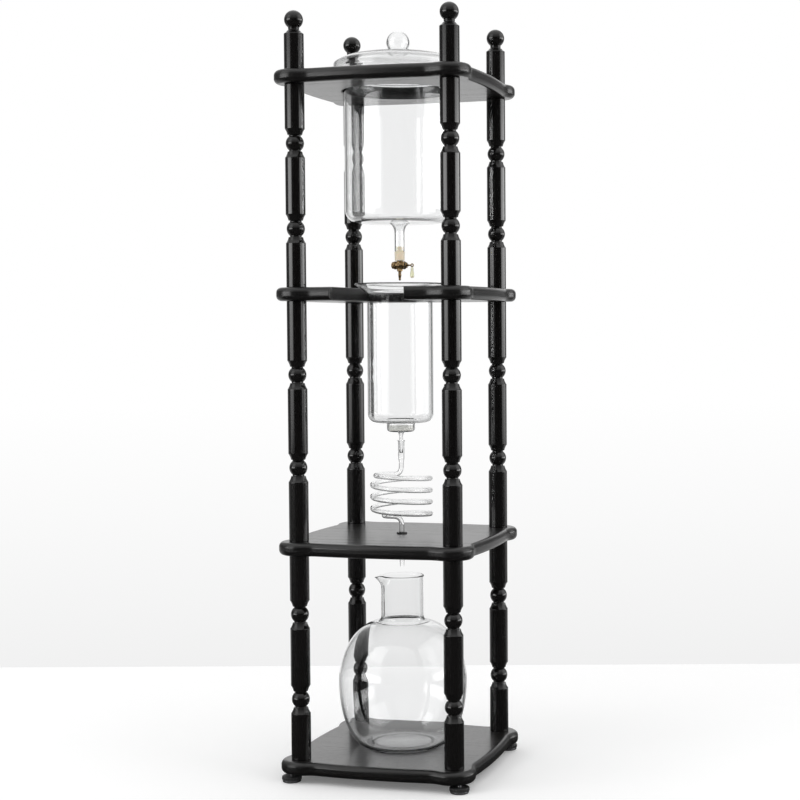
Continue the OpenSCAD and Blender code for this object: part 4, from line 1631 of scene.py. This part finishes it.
@dataclass
class Carafe(Assembly):
    """The round carafe with its straight neck and its pouring lip."""

    radius: float = 102.5
    wall: float = 3.0
    low: float = 34.3
    belly: float = 138.3
    top: float = 308.3
    neck: float = 34.0
    flat: float = 58.0
    shoulder_r: float = 30.0
    shoulder_h: float = 98.0
    lip_out: float = 12.0
    lip_drop: float = 5.0
    lip_width: float = 26.0
    lip_depth: float = 20.0
    pinch: float = 0.9
    pinch_at: float = 46.0

    def pour(self, radius: float, height: float, angle: float) -> Point2:
        """Pulls the rim out and down where the lip is.

        Args:
            radius: the plain radius.
            height: the plain height.
            angle: the angle round the axis, in radians; the lip is at half a turn.

        Returns:
            The new radius and height.
        """
        deep = min(1.0, max(0.0, 1 - (self.top - height) / self.lip_depth))
        if deep <= 0:
            return radius, height
        away = math.degrees(abs(angle - math.pi))
        side = math.exp(-((away / self.lip_width) ** 2) * 1.6)
        pull = side * deep * deep * (3 - 2 * deep)
        pinch = math.exp(-((away - self.pinch_at) ** 2) / 160) * deep * self.pinch
        return radius + self.lip_out * pull - pinch, height - self.lip_drop * side * deep**3

    def build(self) -> list[Piece]:
        """Builds and dresses the carafe.

        Returns:
            The carafe, whose wall is closed.
        """
        r, w, neck, low, top = self.radius, self.wall, self.neck, self.low, self.top
        reach = (neck + 5 - self.shoulder_r) / (r - self.shoulder_r)
        neck_z = self.belly + self.shoulder_h * math.sqrt(1 - reach**2)
        angle = math.degrees(math.acos(reach))
        flat, shoulder = (self.flat, self.belly), (self.shoulder_r, self.belly)
        outer = [(0.0, low + 3.2)] + line((12.0, low + 3.0), (self.flat - 14, low + 1.6), 6)
        outer += arc((self.flat - 6, low + 2.2), 5.0, 2.2, 200, 270, 6)
        outer += arc(flat, r - self.flat, self.belly - low, -90, 0, 34)
        outer += arc(shoulder, r - self.shoulder_r, self.shoulder_h, 0, angle, 34)[1:]
        outer += arc((neck + 6, neck_z + 7), 6, 7, -108, -180, 9)
        outer += line((neck, neck_z + 9), (neck, top - 24), 8) + line((neck, top - 22), (neck, top - 3.2), 14)
        outer += arc((neck + 0.8 - w / 2, top - w / 2), w / 2 + 0.15, w / 2, -20, 180, 12)
        inner = line((neck - w, top - 3.2), (neck - w, top - 22), 14)
        inner += line((neck - w, top - 24), (neck - w, neck_z + 9), 8)
        inner += arc((neck + 6, neck_z + 6), 6 + w, 7 + w, -180, -112, 9)
        inner += arc(shoulder, r - w - self.shoulder_r, self.shoulder_h - w, angle - 3, 0, 34)
        inner += arc(flat, r - w - self.flat, self.belly - low - w - 1, 0, -90, 34)[1:]
        inner += line((self.flat - 8, low + w + 1.6), (12.0, low + w + 3.2), 6) + [(0.0, low + w + 3.4)]
        bm = bmesh.new()
        Lathe(steps=192).turn(bm, outer + inner, push=self.pour)
        piece = finish_mesh("glass_carafe", bm, GLASS_CREASE)
        return [self.dress(piece, "glass", "carafe", "carafe", "clear_glass")]


# The drip valve and the grommet


@dataclass
class DripValve(Assembly):
    """The brass plug valve below the vessel, with its stopper and its drop handle."""

    z: float = VALVE_Z
    barrel: float = 6.5
    half: float = 9.0
    stopper_z: float = 811.8
    stopper_h: float = 14.4
    stopper_in: float = 8.0
    outlet_r: float = 8.0
    outlet_bore: float = 6.2
    collar_gap: float = 1.55
    bar: float = 0.95
    handle_x: float = 20.8
    handle_r: float = 3.3
    handle_len: float = 17.0
    eye: float = 3.0

    def lathe(self, axis: ValveAxis, steps: int, along: float = 0.0) -> Lathe:
        """Gives a lathe at the valve's middle, moved along the barrel."""
        return Lathe(steps=steps, axis=axis, at=(along, 0.0, self.z))

    def body(self) -> Piece:
        """Builds the barrel with its collars, its boss and its spigot.

        Returns:
            The valve's body.
        """
        bm = bmesh.new()
        r = self.barrel
        half = [(3.6, 9.0), (r - 0.5, 9.0), (r, 8.5), (r, 6.9), (r - 0.7, 6.5), (r - 0.7, 5.9), (r - 0.3, 5.5)]
        half += arc((r - 0.6, 2.6), 0.6, 2.9, 80, 0, 5)
        profile = [(rr, -x) for rr, x in half] + half[::-1]
        self.lathe(ValveAxis.ACROSS, 64).turn(bm, profile, True)
        up = self.stopper_z - self.z
        end = up + self.stopper_h + self.stopper_in - 1.0
        spigot = [(1.6, 4.0), (5.2, 4.0), (5.25, up - 1.3), (4.9, up - 0.6), (5.25, up - 0.1), (4.0, up)]
        spigot += [(4.0, end - 1.0), (3.5, end), (1.6, end)]
        self.lathe(ValveAxis.UPRIGHT, 56).turn(bm, spigot, True)
        boss = [(1.6, -3.5), (4.4, -3.5), (4.75, -5.2), (4.75, -8.9), (4.3, -9.5), (1.6, -9.5)]
        self.lathe(ValveAxis.UPRIGHT, 6).turn(bm, boss, True)
        return finish_mesh("brass_valve_body", bm, 32.0)

    def nozzle(self) -> Piece:
        """Builds the slim drip nozzle with its rings.

        Returns:
            The nozzle.
        """
        rows = [(1.0, -4.6), (2.7, -4.6), (2.75, -9.6), (2.4, -9.9), (2.75, -10.3), (2.75, -11.2), (2.2, -11.7)]
        rows += [(2.35, -13.2), (2.6, -14.8), (2.55, -16.4), (2.1, -18.6), (1.75, -21.0), (1.7, -23.4)]
        rows += [(1.5, -24.0), (1.0, -24.0)]
        return self.lathe(ValveAxis.UPRIGHT, 56).make("brass_drip_nozzle", rows, True, 32.0)

    def cap(self) -> Piece:
        """Builds the knurled cap on the barrel's left end.

        Returns:
            The cap.
        """
        rows = [(0.0, -9.3), (5.2, -9.3), (5.5, -9.6), (5.5, -11.8), (5.0, -12.3), (4.0, -12.5), (3.9, -13.1)]
        rows += [(3.5, -13.3), (2.2, -13.3), (1.9, -12.9), (0.0, -12.9)]
        bm = bmesh.new()
        self.lathe(ValveAxis.ACROSS, 120).turn(bm, rows, flutes=Flutes(24, 0.35, -11.9, -9.5))
        return finish_mesh("brass_valve_cap", bm, 30.0)

    def key(self) -> Piece:
        """Builds the plug, the collar, the arm, the eye and the pin.

        Returns:
            The turning key.
        """
        bm = bmesh.new()
        collar = self.half + self.collar_gap
        plug = [(0.0, -9.0), (3.45, -9.0), (3.45, collar + 0.4), (0.0, collar + 0.4)]
        self.lathe(ValveAxis.ACROSS, 56).turn(bm, plug)
        rows = [(0.0, collar), (4.3, collar), (4.5, collar + 0.25), (4.5, collar + 1.5), (4.1, collar + 2.0)]
        rows += [(2.4, collar + 2.2), (1.5, collar + 2.9), (1.35, collar + 3.6), (1.75, collar + 4.2)]
        rows += [(1.75, collar + 4.8), (1.2, collar + 5.4), (1.1, collar + 6.6), (1.1, self.handle_x - 2.1)]
        rows += [(0.0, self.handle_x - 1.9)]
        self.lathe(ValveAxis.ACROSS, 96).turn(bm, rows, flutes=Flutes(20, 0.3, collar + 0.2, collar + 1.6))
        self._eye(bm)
        pin = [(0.0, -9.1), (0.8, -9.1), (0.85, -3.4), (1.3, -3.2), (1.3, -2.8), (0.0, -2.7)]
        self.lathe(ValveAxis.UPRIGHT, 32, self.handle_x).turn(bm, pin)
        return finish_mesh("brass_turning_key", bm, 32.0)

    def _eye(self, bm: bmesh.types.BMesh) -> None:
        """Adds the round eye at the end of the arm.

        Args:
            bm: the key's mesh.
        """
        hoops = []
        for i in range(48):
            t, hoop = math.tau * i / 48, []
            for k in range(16):
                s = math.tau * k / 16
                reach = self.eye - 1.0 + self.bar * math.cos(s)
                x, z = self.handle_x + reach * math.cos(t), self.z + reach * math.sin(t)
                hoop.append(bm.verts.new(Vector((x, self.bar * math.sin(s), z)) * MM))
            hoops.append(hoop)
        for low, high in zip(hoops, hoops[1:] + hoops[:1]):
            bridge(bm, low, high)

    def handle(self) -> Piece:
        """Builds the turned drop handle.

        Returns:
            The handle, which hangs below the eye.
        """
        top, r = -self.eye - 0.3, self.handle_r
        low = top - self.handle_len
        rows = arc((0.0, low + r), r, r, -90, 0, 12)
        rows[0] = (0.0, low)
        rows += [(3.28, low + 5.0), (3.1, low + 7.2), (2.75, low + 9.4), (2.35, low + 11.4), (2.15, low + 12.6)]
        rows += [(2.1, low + 13.2), (2.5, low + 13.5), (2.6, low + 14.0), (2.5, low + 14.5), (2.1, low + 14.8)]
        rows += [(2.05, low + 15.6), (2.3, low + 16.2), (2.1, low + 16.8), (1.7, top), (0.95, top)]
        rows += [(0.95, top - 6.0), (0.0, top - 6.05)]
        return self.lathe(ValveAxis.UPRIGHT, 72, self.handle_x).make("cream_drop_handle", rows, sharp=50.0)

    def stopper(self) -> Piece:
        """Builds the silicone stopper between the outlet tube and the spigot.

        Returns:
            The stopper.
        """
        low, plug, r, deep = self.stopper_z - self.z, self.outlet_bore - 0.05, self.outlet_r, self.stopper_in
        high = low + self.stopper_h
        rows = [(4.05, low), (r - 1.1, low), *arc((r - 1.0, low + 0.7), 0.7, 0.7, 270, 360, 5)]
        rows += line((r - 0.25, low + 1.6), (r + 0.05, high - 3.4), 5)
        rows += [(r - 0.15, high - 3.1), (r - 0.15, high - 2.6), (r + 0.2, high - 2.3)]
        rows += arc((r - 0.4, high - 0.7), 0.7, 0.7, 0, 90, 6)
        rows += [(plug, high), (plug, high + deep - 1.2), (plug - 0.7, high + deep), (4.05, high + deep)]
        return self.lathe(ValveAxis.UPRIGHT, 96).make("silicone_stopper", rows, True, 35.0)

    def build(self, nodes: dict[str, Piece]) -> list[Piece]:
        """Builds and dresses the whole valve.

        Args:
            nodes: the CAD nodes by name.

        Returns:
            The valve's pieces, with the washer that is kept from the CAD.
        """
        made = [
            self.dress(self.body(), "brass", "vessel", "valve_body", "valve_brass"),
            self.dress(self.nozzle(), "brass", "vessel", "valve_nozzle", "valve_brass"),
            self.dress(self.cap(), "brass", "vessel", "valve_cap", "valve_brass"),
            self.dress(self.key(), "brass", "key", "valve_key", "valve_brass"),
            self.dress(self.handle(), "cream", "key", "valve_handle", "handle_cream"),
            self.dress(self.stopper(), "stopper", "vessel", "valve_stopper", "stopper_silicone"),
        ]
        return made + [self.dress_node(nodes["valve_washer"], "rubber")]


@dataclass
class Grommet(Assembly):
    """The rubber grommet that holds the coil's leg."""

    radius: float = 6.5
    flange: float = 8.5
    flange_t: float = 2.0
    bore: float = 4.3

    def build(self) -> list[Piece]:
        """Builds and dresses the grommet.

        Returns:
            The grommet.
        """
        r, bore, flange, low, top = self.radius, self.bore, self.flange, COIL_SHELF_Z, COIL_SHELF_TOP
        high = top + self.flange_t
        rows = [(bore, low + 0.5), (bore + 0.5, low), (r - 0.6, low), (r, low + 0.6)]
        rows += line((r, low + 2), (r, top), 3)
        rows += [(flange - 0.5, top + 0.02), *arc((flange - 0.55, top + 0.6), 0.55, 0.58, 270, 360, 5)]
        rows += arc((flange - 1.1, high - 1.0), 1.1, 1.0, 0, 90, 6)
        rows += [(6.2, high), (5.9, high - 0.2), (5.4, high - 0.2), (5.1, high), (bore + 0.4, high)]
        rows += [(bore, high - 0.4), (bore, top - 4)]
        piece = Lathe(steps=80).make("rubber_grommet", rows, True)
        return [self.dress(piece, "rubber", "tower", "grommet", "black_rubber")]


# The studio


@dataclass(frozen=True)
class Lamp:
    """One soft square lamp that looks at the tower."""

    name: str
    at: Point3
    size: float
    power: float
    aim: Point3 = (0.0, 0.0, 0.55)

    def build(self) -> Piece:
        """Makes the lamp, which mirrors don't show.

        Returns:
            The lamp.
        """
        data = bpy.data.lights.new(self.name, "AREA")
        data.shape, data.size, data.energy = "SQUARE", self.size, self.power
        lamp = bpy.data.objects.new(self.name, data)
        lamp.location = self.at
        lamp.rotation_mode = "QUATERNION"
        lamp.rotation_quaternion = (Vector(self.aim) - Vector(self.at)).to_track_quat("-Z", "Y")
        lamp.visible_glossy = False
        bpy.context.scene.collection.objects.link(lamp)
        return lamp


@dataclass
class Studio:
    """The camera, the floor, the lamps and the sky that glass and lacquer mirror."""

    eye: Point3 = (0.8930, -2.5593, 0.7070)
    look: Point3 = (-0.2549, 0.9660, -0.0438)
    roll: float = -0.271
    lens: float = 76.05
    sensor: float = 36.0
    shift: float = -0.1654
    floor_back: float = 0.8
    floor_front: float = 6.0
    floor_side: float = 7.0
    floor_drop: float = 0.0005
    floor_white: float = 0.93
    floor_glow: float = 0.13
    floor_mirrored: Point2 = (0.06, 0.55)
    back_heading: Point3 = (0.2551, -0.9669, 0.0)
    tower_to_eye: Point3 = (0.329, -0.944, 0.0)
    even_light: float = 0.86
    box_strength: float = 5.0

    def camera(self) -> Piece:
        """Makes the camera of the photograph.

        Returns:
            The camera.
        """
        data = bpy.data.cameras.new("camera")
        data.lens, data.sensor_width, data.shift_x = self.lens, self.sensor, self.shift
        data.clip_start, data.clip_end = 0.05, 60.0
        piece = bpy.data.objects.new("camera", data)
        turn = Vector(self.look).to_track_quat("-Z", "Y").to_matrix().to_4x4()
        roll = Matrix.Rotation(math.radians(self.roll), 4, "Z")
        piece.matrix_world = Matrix.Translation(self.eye) @ turn @ roll
        bpy.context.scene.collection.objects.link(piece)
        bpy.context.scene.camera = piece
        return piece

    def floor(self) -> Piece:
        """Makes the white floor, whose far edge lies a little behind the tower.

        Returns:
            The floor.
        """
        back = Vector(self.back_heading)
        side = Vector((-back.y, back.x, 0.0))
        bm = bmesh.new()
        spots = ((-self.floor_back, -1), (-self.floor_back, 1), (self.floor_front, 1), (self.floor_front, -1))
        bm.faces.new([bm.verts.new(back * far + side * wide * self.floor_side) for far, wide in spots])
        piece = finish_mesh("studio_floor", bm)
        piece.location.z = -self.floor_drop
        piece.data.materials.append(self._floor_material())
        return piece

    def _floor_material(self) -> bpy.types.Material:
        """Builds the floor's material.

        Returns:
            White to the eye and to glass, with the tower's soft shadow, and dark where lacquer would mirror it.
        """
        bench = MaterialBench("studio_floor")
        bench.wire(bench.shader, {
            "Base Color": (*[self.floor_white] * 3, 1.0), "Roughness": 0.9, "Specular IOR Level": 0.0,
            "Emission Color": (1.0, 1.0, 1.0, 1.0), "Emission Strength": self.floor_glow,
        })
        behind = bench.vector("DOT_PRODUCT", bench.place(), tuple(-v for v in self.back_heading))
        beyond = bench.ramp(behind, [(0.14, 0.0), (0.45, 1.0)])
        near, far = ((level, level, level) for level in self.floor_mirrored)
        dark = bench.add("BsdfDiffuse")
        bench.join(bench.blend(beyond, near, far), dark.inputs[0])
        mirrored = bench.math("GREATER_THAN", bench.ray("Glossy Depth"), 0.5)
        bench.join(bench.switch(mirrored, bench.shader, dark), bench.output.inputs["Surface"])
        return bench.material

    def sky(self) -> None:
        """Builds the world: a pale backdrop to the eye, even light, and two soft boxes that lacquer mirrors."""
        world = bpy.data.worlds.new("studio")
        bpy.context.scene.world = world
        world.use_nodes = True
        bench = NodeBench(world.node_tree)
        x, y, up = bench.split(bench.add("TexCoord").outputs["Generated"])
        seen = bench.ramp(up, [(-0.40, 0.80), (-0.20, 0.875), (-0.105, 0.955), (-0.045, 1.0)])
        straight = bench.math("LESS_THAN", bench.ray("Glossy Depth"), 0.5)
        through = bench.math("MULTIPLY", bench.ray("Is Transmission Ray"), straight)
        plain = bench.math("MAXIMUM", bench.ray("Is Camera Ray"), through)
        turned = bench.math("MAXIMUM", bench.ray("Is Glossy Ray"), bench.ray("Is Transmission Ray"))
        gloss = bench.math("MULTIPLY", turned, bench.math("SUBTRACT", 1.0, plain))
        rest = bench.math("SUBTRACT", 1.0, bench.math("MAXIMUM", plain, gloss))
        level = bench.math("MULTIPLY", plain, seen)
        level = bench.math("MULTIPLY_ADD", gloss, self._mirrored(bench, x, y, up), level)
        level = bench.math("MULTIPLY_ADD", rest, self.even_light, level)
        shine = bench.add("Background", in_0=(1.0, 1.0, 1.0, 1.0))
        bench.join(level, shine.inputs["Strength"])
        bench.join(shine.outputs[0], bench.add("OutputWorld").inputs["Surface"])
        world.cycles.sampling_method = "MANUAL"
        world.cycles.sample_map_resolution = 512

    def _mirrored(self, bench: NodeBench, x: Socket, y: Socket, up: Socket) -> Socket:
        """Builds the light that glossy rays meet, from the angle round the tower and the height of the ray.

        Args:
            bench: the world's bench.
            x: the direction's part to the right.
            y: its part to the back.
            up: its part upwards.

        Returns:
            The strength: bright behind the tower, dark by the camera, with a soft box on each side.
        """
        flat = bench.combine(x, y)
        toward = Vector(self.tower_to_eye)
        ahead = bench.vector("DOT_PRODUCT", flat, tuple(toward))
        aside = bench.vector("DOT_PRODUCT", flat, (-toward.y, toward.x, 0.0))
        angle = bench.math("DEGREES", bench.math("ARCTAN2", aside, ahead))
        turned = bench.math("ABSOLUTE", angle)
        back_rise = bench.ramp(up, [(-0.30, 0.6), (-0.15, 1.0), (-0.02, 0.85), (0.12, 0.74), (0.25, 1.05)])
        back = bench.math("MULTIPLY", bench.ramp(turned, [(150.0, 0.0), (163.0, 1.0)]), back_rise)
        low_rise = bench.ramp(up, [(-0.12, 0.50), (-0.02, 0.14)])
        low = bench.math("MULTIPLY", bench.ramp(turned, [(116.0, 0.0), (134.0, 1.0)]), low_rise)
        wrap = bench.ramp(turned, [(20.0, 0.010), (60.0, 0.05), (110.0, 0.14)])
        over = bench.ramp(up, [(0.17, 0.0), (0.34, 0.34), (0.70, 0.6), (0.90, 0.95)])
        left_box = bench.ramp(angle, [(-92.0, 0.0), (-82.0, 1.0), (-48.0, 1.0), (-38.0, 0.0)])
        right_box = bench.ramp(angle, [(54.0, 0.0), (64.0, 1.0), (112.0, 1.0), (122.0, 0.0)])
        tall = bench.ramp(up, [
            (-0.17, 0.02), (-0.10, 0.12), (-0.03, 0.42), (0.06, 1.0), (0.10, 1.0), (0.165, 0.20),
            (0.62, 0.18), (0.82, 0.0),
        ])
        strength = bench.math("MULTIPLY", tall, self.box_strength)
        box = bench.math("MULTIPLY", bench.math("ADD", left_box, right_box), strength)
        level = bench.math("MAXIMUM", bench.math("MAXIMUM", back, low), bench.math("MAXIMUM", wrap, over))
        return bench.math("ADD", level, box)

    def build(self) -> None:
        """Sets up the whole studio."""
        self.camera()
        self.floor()
        self.sky()
        Lamp("key_lamp", (-1.7, -1.9, 2.3), 1.6, 16.0).build()
        Lamp("fill_lamp", (2.3, -0.6, 1.7), 1.8, 10.0).build()
        bpy.context.scene.view_settings.view_transform = "Standard"


def report(title: str, pieces: Sequence[Piece]) -> None:
    """Logs each piece of a sub-assembly with its number of faces."""
    for piece in pieces:
        LOG.info("%s: %s, %d faces", title, piece.name, len(piece.data.polygons))


def main() -> None:
    """Builds the dressed tower in order."""
    logging.basicConfig(level=logging.INFO, format="%(name)s %(message)s")
    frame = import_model()
    nodes = frame["nodes"]
    Studio().build()
    shelf = FinishShelf()
    shelf.fill()
    report("boards", BoardSet(shelf).build())
    report("posts", PostSet(shelf).build())
    report("fasteners", Fasteners(shelf).build(nodes))
    for corner in CORNERS:
        report("feet", Foot(shelf, corner).build())
    report("vessel", WaterVessel(shelf).build())
    report("lid", VesselLid(shelf).build())
    report("cylinder", BrewCylinder(shelf).build())
    report("coil", GlassCoil(shelf).build() + Grommet(shelf).build())
    report("carafe", Carafe(shelf).build())
    report("valve", DripValve(shelf).build(nodes))


if __name__ == "__main__":
    main()
